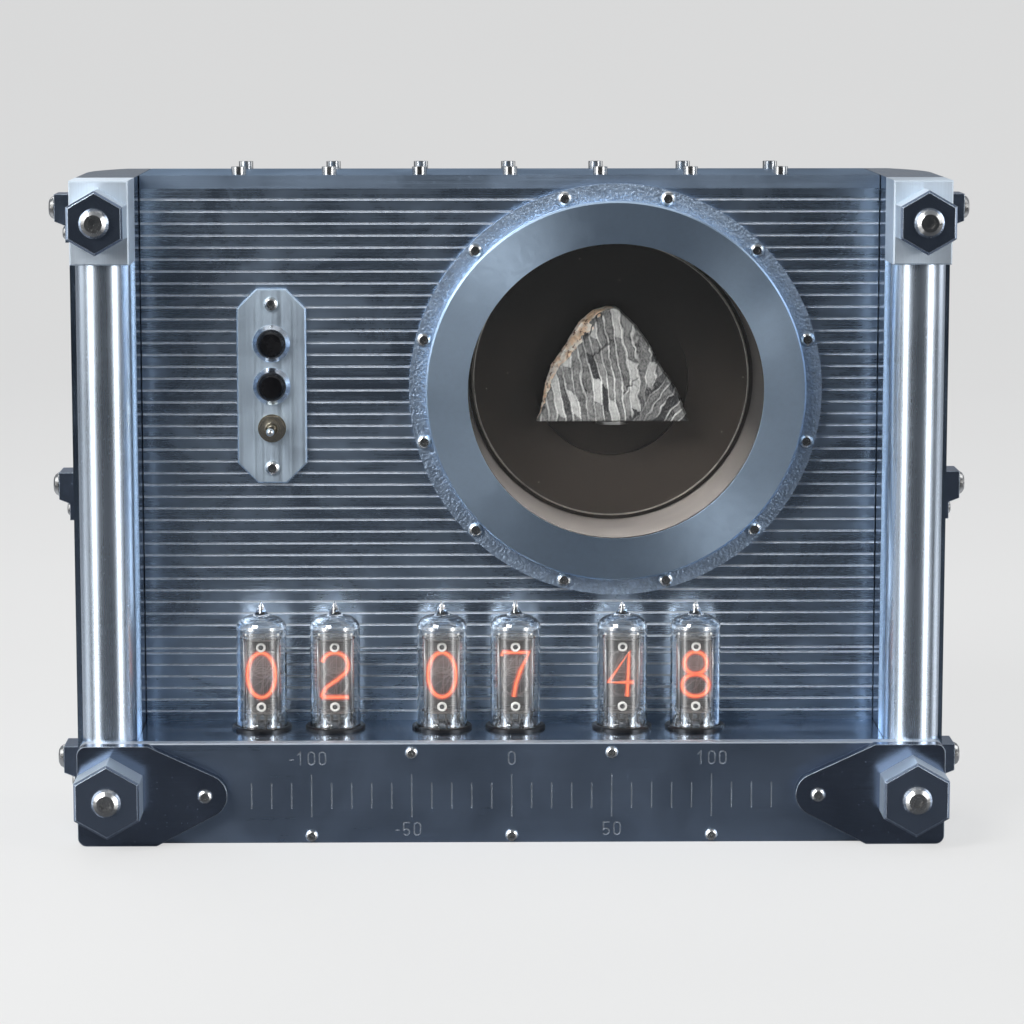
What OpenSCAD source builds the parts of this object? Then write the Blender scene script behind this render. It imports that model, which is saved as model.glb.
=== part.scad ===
// Desk clock with six glow tubes and a porthole that shows a slice of iron meteorite.
// X to the right, Y to the rear, Z up. Sizes in millimetres, the clock stands on Z = 0.

/* [Case] */
// Width over the two corner blocks
case_width = 320; // [300:1:360]
// Height of the top face
case_height = 244.5; // [235:0.5:270]
// Depth from the scale plate to the rear face
case_depth = 98; // [94:0.5:130]
// Height of the sill that carries the tubes
sill_height = 37.5; // [36:0.5:42]
// Depth of the grooved panel behind the scale plate
recess_depth = 43.2; // [40:0.2:47]
// Width of each side wall
cheek_width = 21.5; // [20.5:0.5:26]
// Radius of the rear curve of the side walls
rear_curve = 55; // [45:1:70]
// Thickness of the top plate
top_thick = 5; // [4:0.5:8]
// Thickness of the grooved panels
panel_thick = 8.5; // [7:0.5:11]
// Thickness of the rear plate
rear_thick = 8; // [7:0.5:10]
// Thickness of the shelf that carries the tubes
shelf_thick = 6; // [5:0.5:7]
// Thickness of the bottom plate
bottom_thick = 5; // [5:0.5:7]
// Thickness of the scale plate
scale_thick = 5; // [4:0.5:7]

/* [Grooves] */
// Spacing of the grooves
groove_pitch = 4.475; // [4:0.025:6]
// Width of one groove
groove_width = 0.9; // [0.5:0.1:1.5]
// Depth of one groove
groove_depth = 0.8; // [0.4:0.1:1.2]
// Height of the lower panel
lower_panel_height = 27; // [24:0.5:30]

/* [Columns] */
// Diameter of the front columns
column_diameter = 20; // [16:0.5:20.5]
// Height of the corner blocks
block_height = 30.5; // [28:0.5:36]
// Depth of the corner blocks
block_depth = 25.2; // [23:0.2:28]
// Width across the flats of the upper hexagons
upper_hex_flats = 20.3; // [18:0.1:21]
// Length of the upper hexagons
upper_hex_length = 16; // [12:0.5:20]
// Width across the flats of the lower hexagons
lower_hex_flats = 24; // [20:0.1:25]
// Length of the lower hexagons
lower_hex_length = 15; // [12:0.5:18]

/* [Gussets] */
// Thickness of the gussets
gusset_thick = 5; // [3:0.5:7]
// Distance of the nose screw from the axis of the lower hexagon
gusset_length = 34.85; // [28:0.05:40]
// Radius of the nose
gusset_nose = 8.2; // [6:0.2:10]

/* [Porthole] */
// Distance of the porthole to the right of the middle
porthole_x = 39.6; // [30:0.2:50]
// Gap between the flange and the top of the case
porthole_top_gap = 3; // [1.5:0.5:6]
// Gap between the flange and the level of the tube tips
porthole_tube_gap = 0.7; // [0.3:0.1:4]
// Width of the flange outside the bezel
flange_step = 6.25; // [6:0.25:8]
// Width of the bezel ring
bezel_width = 15.75; // [14:0.25:20]
// Thickness of the bezel
bezel_thick = 6; // [5:0.5:8]
// Thickness of the flange
flange_thick = 4; // [3:0.5:5]
// Wall of the barrel
barrel_wall = 3; // [2:0.25:3.5]
// Thickness of the glass
glass_thick = 3; // [2:0.25:3.5]
// Thickness of the gasket
gasket_thick = 1; // [0.5:0.25:1.5]
// Thickness of the back disc
disc_thick = 6; // [5:0.5:8]
// Diameter of the round recess in the back disc
disc_recess = 60; // [50:1:70]

/* [Meteorite] */
// Width of the slice at its foot
slice_width = 58.4; // [50:0.2:64]
// Height of the slice
slice_height = 44; // [36:0.5:48]
// Thickness of the slice
slice_thick = 6; // [4:0.5:10]
// Gap between the slice and the back disc
slice_stand = 8; // [5:0.5:14]

/* [Tubes] */
// Diameter of the tube glass
tube_diameter = 18.9; // [17:0.1:19.5]
// Height of the tube tip above the shelf
tube_height = 48.3; // [46:0.1:52]
// Spacing inside a pair of tubes
pair_pitch = 27.6; // [25:0.2:30]
// Spacing between the pairs
group_pitch = 67.8; // [60:0.2:70]
// Distance of the row to the left of the middle
tube_offset = 12; // [0:0.5:20]
// Distance of the tube axes behind the scale plate
tube_depth = 29; // [27:0.5:30]
// Diameter of the tube rings
ring_diameter = 22.6; // [22:0.1:25]

/* [Controls] */
// Width of the control plate
control_width = 26; // [24:0.5:30]
// Height of the control plate
control_height = 73.2; // [72:0.2:80]
// Distance of the control plate's axis from the left side wall
control_inset = 49; // [44:0.5:52]
// Height of the middle of the control plate above the porthole axis
control_rise = 1.6; // [-4:0.2:6]
// Spacing of the switches
switch_pitch = 16.1; // [15:0.1:16.5]
// Diameter of the button caps
cap_diameter = 9.6; // [8:0.1:10]
// Press of the buttons
button_travel = 2; // [1:0.1:2.5]
// Swing of the toggle to each side in degrees
toggle_swing = 12; // [8:0.5:13]

/* [Scale] */
// Spacing of the long marks
mark_pitch = 37; // [34:0.2:38]
// Length of the long marks
long_mark = 16.2; // [12:0.2:17]
// Length of the short marks
short_mark = 9.8; // [6:0.2:11]

/* [Side clamps] */
// Height of a clamp
clamp_height = 18; // [17:0.5:21]
// Thickness of a clamp
clamp_thick = 7; // [5:0.5:9]
// Thickness of the side trims
trim_thick = 3; // [2:0.5:4]

/* [Hidden] */
$fn = 48;

// Fits and small shared sizes
slip = 0.3;
screw_fit = 0.1;
seat = 0.2;
eps = 1;
corner_radius = 3.3;
hex_bevel = 0.8;
edge_bevel = 0.5;

// Screws
m3 = 3;
m3_head = 5.5;
m3_head_high = 1.65;
m3_socket = 2;
m3_length = 8;
m25 = 2.5;
m25_head = 4.7;
m25_head_high = 1.5;
m25_length = 14;
cap_head_high = 3;
top_screw_length = 12;
m6 = 6;
m6_head = 10.8;
m6_head_high = 3.3;
m6_socket = 4;
m6_length = 50;
m5 = 5;
m5_head = 9;
m5_head_high = 2.6;
m5_socket = 3;
m5_length = 18;
m4 = 4;
m4_head = 7;
m4_head_high = 4;
m4_length = 32;
flat_length = 8;
flat_high = 1.7;

// Case
half_width = case_width / 2;
inner_x = half_width - cheek_width;
panel_y = recess_depth;
panel_rear = panel_y + panel_thick;
rear_y = case_depth - rear_thick;
roof_z = case_height - top_thick;
shelf_z = sill_height - shelf_thick;
joint_z = sill_height + lower_panel_height;
plate_x = inner_x - slip;
column_x = half_width - cheek_width / 2;
column_y = block_depth / 2;
block_z = case_height - block_height;
spigot_diameter = 10;
spigot_length = 6;
upper_hex_z = case_height - block_height / 2 + 0.85;
lower_hex_z = sill_height / 2 + 1;
lower_hex_inset = 1.4;
lower_hex_x = half_width - cheek_width / 2 - lower_hex_inset;
gusset_reach = lower_hex_x - gusset_length;
curve_length = 35;
curve_start = case_depth - curve_length;
pocket_front = panel_rear + 4;
pocket_rear = rear_y - 4;
pocket_skin = 7;
pocket_floor = sill_height + 6;
pocket_roof = roof_z - 8;

// Depth of the whole clock, to set the middle on Y = 0
jack_flange = 1.5;
front_reach = gusset_thick + lower_hex_length + m6_head_high;
rear_reach = case_depth + jack_flange;
front_y = (front_reach - rear_reach) / 2;

// Rows of screws
top_pitch = 33.8;
top_columns = 7;
top_row_front = panel_y + panel_thick / 2;
top_row_rear = case_depth - rear_thick / 2;
scale_top_z = sill_height - 3.6;
scale_low_z = 2.75;
foot_columns = [-100, -50, 0, 50];
wall_low = 0.22;
wall_high = 0.77;
wall_screw_z = [
  shelf_z + shelf_thick / 2, sill_height + lower_panel_height / 2,
  joint_z + wall_low * (roof_z - joint_z), joint_z + wall_high * (roof_z - joint_z)
];

// Side clamps and trims
trim_front = block_depth + 2.8;
trim_rear = curve_start - 1;
trim_low = 6;
trim_high = case_height - 6;
clamp_width = 16;
clamp_y = trim_rear - 12;
clamp_tops = [27.7, case_height / 2 + 10.6, case_height - 7];
clamp_toe = 3;
clamp_drop = 5.3;
clamp_toe_drop = clamp_height - 3.3;

// Porthole
tube_top = sill_height + tube_height;
flange_diameter = case_height - porthole_top_gap - tube_top - porthole_tube_gap;
porthole_z = case_height - porthole_top_gap - flange_diameter / 2;
bezel_diameter = flange_diameter - 2 * flange_step;
porthole_bore = bezel_diameter - 2 * bezel_width;
flange_y = panel_y - flange_thick;
bezel_y = flange_y - bezel_thick;
barrel_outer = porthole_bore + 2 * barrel_wall;
glass_seat = flange_y - gasket_thick;
glass_y = glass_seat - glass_thick;
glass_diameter = barrel_outer + 1;
flange_circle = (bezel_diameter + flange_diameter) / 4;
flange_count = 12;
flange_screw_length = 10;
bezel_circle = (bezel_diameter + glass_diameter) / 4;
bezel_count = 6;
bezel_depth = flat_length - flange_thick + seat;
disc_y = rear_y - disc_thick;
disc_recess_depth = 3;
disc_diameter = porthole_bore - 2 * seat;
disc_step = 1.6;
slice_y = disc_y - slice_stand - slice_thick;
pin_diameter = 5;
pin_spigot = 3;
pin_bite = 3;
rest_width = 12;
rest_thick = 0.9;
slice_foot = porthole_z - 15.2;
slice_x = porthole_x + 0.3;
pin_z = slice_foot + slice_height * 0.42;

// Controls
control_x = inner_x - control_inset;
control_z = porthole_z + control_rise;
control_thick = 2;
control_y = panel_y - control_thick;
control_cut = 7.5;
control_screw_z = control_height / 2 - 5.7;
button_up_z = control_z + switch_pitch;
button_low_z = control_z;
toggle_z = control_z - switch_pitch + 0.3;
slot_width = 20;
bush_diameter = 12;
bezel_ring = 14;
bezel_ring_high = 2;
bezel_ring_edge = 0.5;
bezel_ring_lip = 1.4;
button_nut_flats = 15;
button_nut_high = 2.5;
button_body_length = 20;
cap_fit = 0.1;
cap_proud = 3;
cap_depth = 7;
toggle_bush = 6;
toggle_bush_front = 5;
toggle_body_width = 8;
toggle_body_high = 13;
toggle_body_depth = 10;
toggle_nut_high = 2.2;
toggle_ball = 4;
toggle_rod = 2.4;
toggle_tip = 3;
toggle_length = 11;
toggle_pivot_y = control_y - 2.4;
toggle_nut_flats = 9.2;

// Tubes
ring_spigot = tube_diameter + 1.6;
ring_bore = tube_diameter + 0.4;
ring_low_bore = tube_diameter - 2.9;
ring_high = 1.4;
ring_seat_z = sill_height - 0.5;
glass_wall = 0.8;
shoulder_z = tube_top - 10;
dome_z = tube_top - 5.2;
nipple = 3.2;
stem_thick = 3;
stem_radius = tube_diameter / 2 - glass_wall - screw_fit;
lead_count = 12;
lead_circle = 6;
lead = 0.8;
board_thick = 1.6;
post_high = 10;
post_flats = 5.5;
tube_board_top = shelf_z - post_high;
lead_end = tube_board_top - board_thick - 1;
mica_low = sill_height + 6.5;
mica_high = shoulder_z - 3.9;
mica_radius = 7.6;
mica_thick = 0.5;
anode_wall = 0.4;
digit_high = 18;
digit_stroke = 0.7;
digit_thick = 0.4;
digit_forward = 3;
digit_z = (mica_low + mica_high + mica_thick) / 2;
rod = 0.7;
digits_lit = [0, 2, 0, 7, 4, 8];
tab = 0.6;
tab_high = mica_high - digit_z - digit_high / 2 + digit_stroke;

// Boards
main_board_front = panel_rear + 6;
main_board_rear = rear_y - 4;
main_board_left = -80;
main_board_right = 60;
main_board_z = bottom_thick + post_high;
post_stud = 3.5;
post_inset = 5;
post_out = 15.4;
post_side = 9;
jack_inset = 34.5;
jack_x = inner_x - jack_inset;
jack_z = 20;
jack_body = 11;
jack_throat = 8;
jack_hole = 5.6;
jack_length = 8;
jack_bore = 9;
jack_pin = 2;

function tube_x(i) = -tube_offset + (floor(i / 2) - 1) * group_pitch + (i % 2 - 0.5) * pair_pitch;
function tab_low(n) = n == 4 ? 0.11 * digit_high : (n == 7 ? -0.092 * digit_high : -tab / 2);
function tab_up(n) = n == 4 ? 0.11 * digit_high : -tab / 2;
function tangent(p, c, r, side) =
  let (d = p - c, a = atan2(d[1], d[0]) + side * acos(r / norm(d)))
  c + r * [cos(a), sin(a)];

// Front of the scale plate becomes Y = 0 inside a node
module place() {
  translate([0, front_y, 0]) children();
}

// Turns a shape drawn along Z so that it looks out of the front
module to_front() {
  rotate([90, 0, 0]) children();
}

// Turns a shape drawn along Z so that it looks out of the side s
module to_side(s) {
  rotate([0, s * 90, 0]) children();
}

module mirror_side(s) {
  mirror([s < 0 ? 1 : 0, 0, 0]) children();
}

module button_screw(d, length, head, high, socket) {
  difference() {
    rotate_extrude() polygon([
      [0, -length], [d / 2, -length], [d / 2, 0], [head / 2, 0], [head / 2, high * 0.3],
      [head * 0.42, high * 0.75], [head * 0.3, high], [0, high]
    ]);
    translate([0, 0, high * 0.35]) cylinder(d = socket / cos(30), h = high, $fn = 6);
  }
}

module cap_screw(d, length, head, high, socket) {
  difference() {
    union() {
      cylinder(d = head, h = high);
      translate([0, 0, -length]) cylinder(d = d, h = length + eps);
    }
    translate([0, 0, high * 0.5]) cylinder(d = socket / cos(30), h = high, $fn = 6);
  }
}

module flat_screw(d, length, head, high, socket) {
  difference() {
    rotate_extrude() polygon([
      [0, -length], [d / 2, -length], [d / 2, -high], [head / 2, -0.4], [head / 2, 0], [0, 0]
    ]);
    translate([0, 0, -high * 0.7]) cylinder(d = socket / cos(30), h = high, $fn = 6);
  }
}

module m3_screw() {
  button_screw(m3, m3_length, m3_head, m3_head_high, m3_socket);
}

// Plain hole for a screw of diameter d
module screw_hole(d, length) {
  translate([0, 0, -length]) cylinder(d = d + 2 * screw_fit, h = length + eps);
}

// Straight bevel along the edge from a to b of a plate whose face is at this height
module edge_cut(a, b, high) {
  side = edge_bevel * sqrt(2);
  translate([a[0], a[1], high]) rotate([0, 0, atan2(b[1] - a[1], b[0] - a[0])]) rotate([45, 0, 0])
    translate([-2, -side / 2, -side / 2]) cube([norm(b - a) + 4, side, side]);
}

module hex_post(flats, length) {
  cylinder(d = flats / cos(30), h = length - hex_bevel, $fn = 6);
  translate([0, 0, length - hex_bevel])
    cylinder(d1 = flats / cos(30), d2 = (flats - 2 * hex_bevel) / cos(30), h = hex_bevel, $fn = 6);
}

// Rounded plate in the XZ plane, from Y = 0 to the rear
module round_plate(x0, x1, z0, z1, thick, r) {
  translate([x0 + r, 0, z0]) cube([x1 - x0 - 2 * r, thick, z1 - z0]);
  translate([x0, 0, z0 + r]) cube([x1 - x0, thick, z1 - z0 - 2 * r]);
  for (x = [x0 + r, x1 - r])
    for (z = [z0 + r, z1 - r])
      translate([x, thick, z]) to_front() cylinder(r = r, h = thick);
}

// Stroke of a numeral from p to q in the XZ plane
module bar(p, q, s, t) {
  d = q - p;
  translate([p[0], 0, p[1]])
    rotate([0, -atan2(d[1], d[0]), 0])
      translate([-s / 2, 0, -s / 2]) cube([norm(d) + s, t, s]);
}

module ring_arc(r, s, t) {
  translate([0, t, 0]) to_front() difference() {
    cylinder(r = r + s / 2, h = t);
    translate([0, 0, -eps]) cylinder(r = r - s / 2, h = t + 2 * eps);
  }
}

module half_arc(r, s, t, up) {
  intersection() {
    ring_arc(r, s, t);
    translate([-2 * r, -eps, up > 0 ? 0 : -2 * r]) cube([4 * r, t + 2 * eps, 2 * r]);
  }
}

// Plain numeral n of height h, stroke s and thickness t, centred on the origin
module numeral(n, h, s, t) {
  w = 0.27 * h - s / 2;
  a = h / 2 - s / 2;
  if (n == 0) {
    translate([0, 0, a - w]) half_arc(w, s, t, 1);
    translate([0, 0, w - a]) half_arc(w, s, t, -1);
    bar([-w, w - a], [-w, a - w], s, t);
    bar([w, w - a], [w, a - w], s, t);
  }
  if (n == 1) {
    bar([0, -a], [0, a], s, t);
    bar([0, a], [-w * 0.8, a - w * 0.9], s, t);
  }
  if (n == 2) {
    translate([0, 0, a - w]) half_arc(w, s, t, 1);
    bar([w, a - w], [w * 0.85, a - 1.5 * w], s, t);
    bar([w * 0.85, a - 1.5 * w], [-w, -a], s, t);
    bar([-w, -a], [w, -a], s, t);
  }
  if (n == 4) {
    bar([w * 0.5, -a], [w * 0.5, a], s, t);
    bar([w * 0.5, a], [-w, -a * 0.4], s, t);
    bar([-w, -a * 0.4], [w, -a * 0.4], s, t);
  }
  if (n == 5) {
    bar([-w * 0.85, a], [w, a], s, t);
    bar([-w * 0.85, 1.53 * w - a], [-w * 0.85, a], s, t);
    difference() {
      translate([0, 0, w - a]) ring_arc(w, s, t);
      translate([-2 * w, -eps, 0.45 * w - a]) cube([1.6 * w, t + 2 * eps, 0.9 * w]);
    }
  }
  if (n == 7) {
    bar([-w, a], [w, a], s, t);
    bar([w, a], [-w * 0.3, -a], s, t);
  }
  if (n == 8) {
    u = a * 0.47;
    translate([0, 0, a - u]) ring_arc(u, s, t);
    translate([0, 0, a - 2 * u - (a - u)]) ring_arc(a - u, s, t);
  }
}

// Plan of the right side wall from y0 to the rear face
module wall_plan(y0) {
  intersection() {
    translate([inner_x, y0, 0]) cube([cheek_width, case_depth - y0, case_height]);
    union() {
      translate([inner_x - eps, y0 - eps, 0]) cube([cheek_width + 2 * eps, curve_start - y0 + eps, case_height]);
      translate([half_width - rear_curve, curve_start, 0]) cylinder(r = rear_curve, h = case_height, $fn = 96);
    }
  }
}

module scale_plate() {
  color("silver") place() difference() {
    round_plate(-half_width, half_width, 0, sill_height, scale_thick, corner_radius);
    to_front() edge_cut([-half_width, sill_height], [half_width, sill_height], 0);
    for (k = [-13:13])
      translate([k * mark_pitch / 5 - 0.25, -eps, sill_height / 2 - 1 - (k % 5 == 0 ? long_mark : short_mark) / 2])
        cube([0.5, eps + 0.4, k % 5 == 0 ? long_mark : short_mark]);
    for (k = [-2:2])
      translate([k * mark_pitch, -eps, abs(k) == 1 ? 5.2 : sill_height - 5.6])
        scale_number(k * 50);
    for (s = [-1, 1]) {
      translate([s * mark_pitch, 0, scale_top_z]) to_front() screw_hole(m25, m25_length);
      translate([s * 2 * mark_pitch, 0, scale_low_z]) to_front() screw_hole(m25, m25_length);
      translate([s * gusset_reach, 0, sill_height / 2]) to_front() screw_hole(m3, m25_length);
      translate([s * lower_hex_x, 0, lower_hex_z]) to_front() screw_hole(m6, m6_length);
    }
    translate([0, 0, scale_low_z]) to_front() screw_hole(m25, m25_length);
  }
}

module scale_number(n) {
  glyphs = n == 0 ? [0] : (abs(n) == 50 ? [5, 0] : [1, 0, 0]);
  high = 5.2;
  for (i = [0:len(glyphs) - 1])
    translate([(i - (len(glyphs) - 1) / 2) * high * 0.78, 0, 0]) numeral(glyphs[i], high, 0.5, eps + 0.4);
  if (n < 0)
    translate([-len(glyphs) * high * 0.39 - 2, 0, -high * 0.15]) cube([1.6, eps + 0.4, 0.5]);
}

module shelf_plate() {
  color("gainsboro") place() difference() {
    translate([-plate_x, scale_thick, shelf_z]) cube([2 * plate_x, panel_rear - scale_thick, shelf_thick]);
    for (i = [0:5])
      translate([tube_x(i), tube_depth, shelf_z - eps]) cylinder(d = ring_spigot + 2 * screw_fit, h = shelf_thick + 2 * eps);
    for (s = [-1, 1]) {
      translate([s * mark_pitch, 0, scale_top_z]) to_front() screw_hole(m25, m25_length + seat);
      translate([s * half_width, top_row_front, wall_screw_z[0]]) to_side(s) screw_hole(m4, m4_length + eps);
    }
    tube_posts() translate([0, 0, -eps]) cylinder(d = m3 + 2 * screw_fit, h = post_stud + eps + seat);
  }
}

module bottom_plate() {
  color("gray") place() difference() {
    translate([-plate_x, scale_thick, 0]) cube([2 * plate_x, case_depth - scale_thick, bottom_thick]);
    for (k = [-1:1])
      translate([k * 2 * mark_pitch, 0, scale_low_z]) to_front() screw_hole(m25, m25_length + seat);
    for (x = foot_columns)
      translate([x, top_row_rear, seat]) rotate([180, 0, 0]) flat_hole(bottom_thick);
    main_posts() translate([0, 0, -post_stud - seat]) cylinder(d = m3 + 2 * screw_fit, h = post_stud + eps);
  }
}

// Countersunk hole through a plate, mouth on Z = 0, going down
module flat_hole(thick) {
  rotate_extrude() polygon([
    [0, -thick - 2 * eps], [m3 / 2 + screw_fit, -thick - 2 * eps], [m3 / 2 + screw_fit, -flat_high],
    [m3_head / 2 + screw_fit, -0.4], [m3_head / 2 + screw_fit, eps], [0, eps]
  ]);
}

module side_wall(s) {
  color("lightsteelblue") place() mirror_side(s) difference() {
    union() {
      intersection() {
        wall_plan(scale_thick);
        translate([0, 0, 0]) cube([case_width, case_depth, sill_height]);
      }
      wall_plan(block_depth);
    }
    translate([inner_x - eps, pocket_front, pocket_floor])
      cube([cheek_width - pocket_skin + eps, pocket_rear - pocket_front, pocket_roof - pocket_floor]);
    translate([column_x, column_y, sill_height - spigot_length - seat])
      cylinder(d = spigot_diameter + 2 * screw_fit, h = spigot_length + eps);
    translate([column_x, 0, upper_hex_z]) to_front() screw_hole(m6, m6_length - upper_hex_length + seat);
    translate([lower_hex_x, 0, lower_hex_z]) to_front()
      screw_hole(m6, m6_length - gusset_thick - lower_hex_length + seat);
    for (z = wall_screw_z) {
      translate([half_width, top_row_front, z]) to_side(1) screw_hole(m4, cheek_width + eps);
      translate([half_width - m4_head_high - seat, top_row_front, z]) to_side(1)
        cylinder(d = m4_head + 2 * seat, h = m4_head_high + eps);
    }
    clamp_places() {
      translate([half_width + trim_thick + clamp_thick, 0, -clamp_drop]) to_side(1) screw_hole(m5, m5_length + seat);
      translate([half_width + trim_thick + clamp_toe, 0, -clamp_toe_drop]) to_side(1) screw_hole(m3, m3_length + seat);
    }
  }
}

module clamp_places() {
  for (z = clamp_tops) translate([0, clamp_y, z]) children();
}

module side_wall_left() {
  side_wall(-1);
}

module side_wall_right() {
  side_wall(1);
}

module grooves(from_z, to_z) {
  count = floor((from_z - to_z) / groove_pitch);
  for (k = [0:count])
    translate([-inner_x - eps, panel_y - eps, from_z - k * groove_pitch - groove_width / 2])
      cube([2 * inner_x + 2 * eps, eps + groove_depth, groove_width]);
}

module front_panel() {
  color("lightgray") place() difference() {
    translate([-plate_x, panel_y, joint_z]) cube([2 * plate_x, panel_thick, roof_z - joint_z]);
    grooves(roof_z - 4, joint_z + 0.6);
    translate([porthole_x, panel_rear + eps, porthole_z]) to_front()
      cylinder(d = barrel_outer + 2 * slip, h = panel_thick + 2 * eps, $fn = 96);
    flange_places() screw_hole(m3, flange_screw_length + seat);
    control_slot();
    control_screw_places() screw_hole(m3, m3_length + seat);
    for (x = [0:top_columns - 1])
      translate([(x - (top_columns - 1) / 2) * top_pitch, top_row_front, case_height]) screw_hole(m3, top_screw_length + seat);
    for (s = [-1, 1])
      for (z = [wall_screw_z[2], wall_screw_z[3]])
        translate([s * half_width, top_row_front, z]) to_side(s) screw_hole(m4, m4_length + seat);
  }
}

module control_slot() {
  for (z = [toggle_z, button_up_z])
    translate([-control_x, panel_rear + eps, z]) to_front() cylinder(d = slot_width, h = panel_thick + 2 * eps);
  translate([-control_x - slot_width / 2, panel_y - eps, toggle_z])
    cube([slot_width, panel_thick + 2 * eps, button_up_z - toggle_z]);
}

module control_screw_places() {
  for (s = [-1, 1])
    translate([-control_x, control_y, control_z + s * control_screw_z]) to_front() children();
}

module lower_panel() {
  color("lightgray") place() difference() {
    translate([-plate_x, panel_y, sill_height]) cube([2 * plate_x, panel_thick, lower_panel_height]);
    grooves(joint_z - 0.9, sill_height + 3.6);
    for (s = [-1, 1])
      translate([s * half_width, top_row_front, wall_screw_z[1]]) to_side(s) screw_hole(m4, m4_length + seat);
  }
}

module top_plate() {
  color("gainsboro") place() difference() {
    translate([-plate_x, panel_y, roof_z]) cube([2 * plate_x, case_depth - panel_y, top_thick]);
    top_places() screw_hole(m3, top_screw_length);
  }
}

module top_places() {
  for (k = [0:top_columns - 1])
    for (y = [top_row_front, top_row_rear])
      translate([(k - (top_columns - 1) / 2) * top_pitch, y, case_height]) children();
}

module rear_plate() {
  color("gray") place() difference() {
    translate([-plate_x, rear_y, bottom_thick]) cube([2 * plate_x, rear_thick, roof_z - bottom_thick]);
    for (k = [0:top_columns - 1])
      translate([(k - (top_columns - 1) / 2) * top_pitch, top_row_rear, case_height]) screw_hole(m3, top_screw_length + seat);
    for (x = foot_columns)
      translate([x, top_row_rear, bottom_thick - eps])
        cylinder(d = m3 + 2 * screw_fit, h = flat_length + 2 * seat - bottom_thick + eps);
    translate([jack_x, case_depth + eps, jack_z]) to_front() cylinder(d = jack_throat + 2 * screw_fit, h = rear_thick + 2 * eps);
    translate([porthole_x, rear_y + rear_thick / 2 + seat, pin_z]) to_front()
      cylinder(d = pin_spigot + 2 * screw_fit, h = rear_thick / 2 + seat + eps);
  }
}

module corner_block(s) {
  points = [
    [inner_x, block_z], [half_width, block_z], [half_width, case_height], [inner_x, case_height]
  ];
  color("whitesmoke") place() mirror_side(s) difference() {
    translate([inner_x, 0, block_z]) cube([cheek_width, block_depth, block_height]);
    to_front() for (k = [0:3]) edge_cut(points[k], points[(k + 1) % 4], 0);
    translate([column_x, column_y, block_z - eps]) cylinder(d = spigot_diameter + 2 * screw_fit, h = spigot_length + eps + seat);
    translate([column_x, 0, upper_hex_z]) to_front() translate([0, 0, eps]) screw_hole(m6, m6_length);
  }
}

module corner_block_left() {
  corner_block(-1);
}

module corner_block_right() {
  corner_block(1);
}

module column(s) {
  color("white") place() translate([s * column_x, column_y, 0]) {
    translate([0, 0, sill_height]) cylinder(d = column_diameter, h = block_z - sill_height);
    translate([0, 0, sill_height - spigot_length]) cylinder(d = spigot_diameter, h = block_z - sill_height + 2 * spigot_length);
  }
}

module column_left() {
  column(-1);
}

module column_right() {
  column(1);
}

module gusset(s) {
  nose = [gusset_reach, sill_height / 2];
  high = [half_width - cheek_width - 4.5, sill_height];
  low = [half_width - cheek_width - 7.5, 0];
  points = [
    high, tangent(high, nose, gusset_nose, 1), tangent(low, nose, gusset_nose, -1), low,
    [half_width - corner_radius, 0], [half_width, corner_radius],
    [half_width, sill_height - corner_radius], [half_width - corner_radius, sill_height]
  ];
  color("lightsteelblue") place() mirror_side(s) difference() {
    union() {
      to_front() linear_extrude(height = gusset_thick) polygon(points);
      for (z = [corner_radius, sill_height - corner_radius])
        translate([half_width - corner_radius, 0, z]) to_front() cylinder(r = corner_radius, h = gusset_thick);
      translate([nose[0], 0, nose[1]]) to_front() cylinder(r = gusset_nose, h = gusset_thick);
    }
    translate([nose[0], 0, nose[1]]) to_front() translate([0, 0, gusset_thick + eps]) screw_hole(m3, gusset_thick + 2 * eps);
    translate([lower_hex_x, 0, lower_hex_z]) to_front() translate([0, 0, gusset_thick + eps]) screw_hole(m6, gusset_thick + 2 * eps);
  }
}

module gusset_left() {
  gusset(-1);
}

module gusset_right() {
  gusset(1);
}

module corner_hexes() {
  color("slategray") place() for (s = [-1, 1]) {
    translate([s * column_x, 0, upper_hex_z]) to_front() corner_hex(upper_hex_flats, upper_hex_length);
    translate([s * lower_hex_x, -gusset_thick, lower_hex_z]) to_front() corner_hex(lower_hex_flats, lower_hex_length);
  }
}

module corner_hex(flats, length) {
  rotate([0, 0, 30]) difference() {
    hex_post(flats, length);
    translate([0, 0, -eps]) cylinder(d = m6 + 2 * screw_fit, h = length + 2 * eps);
  }
}

module corner_screws() {
  color("silver") place() for (s = [-1, 1]) {
    translate([s * column_x, -upper_hex_length, upper_hex_z]) to_front()
      button_screw(m6, m6_length, m6_head, m6_head_high, m6_socket);
    translate([s * lower_hex_x, -gusset_thick - lower_hex_length, lower_hex_z]) to_front()
      button_screw(m6, m6_length, m6_head, m6_head_high, m6_socket);
  }
}

module top_screws() {
  color("silver") place() top_places() cap_screw(m3, top_screw_length, m3_head, cap_head_high, m3_socket + 0.5);
}

module scale_screws() {
  color("silver") place() {
    for (s = [-1, 1])
      translate([s * mark_pitch, 0, scale_top_z]) to_front() button_screw(m25, m25_length, m25_head, m25_head_high, 1.5);
    for (k = [-1:1])
      translate([k * 2 * mark_pitch, 0, scale_low_z]) to_front() button_screw(m25, m25_length, m25_head, m25_head_high, 1.5);
  }
}

module frame_screws() {
  color("silver") place() for (s = [-1, 1])
    for (z = wall_screw_z)
      translate([s * (half_width - m4_head_high - seat), top_row_front, z]) to_side(s)
        cap_screw(m4, m4_length - m4_head_high - seat, m4_head, m4_head_high, 3);
}

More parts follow.
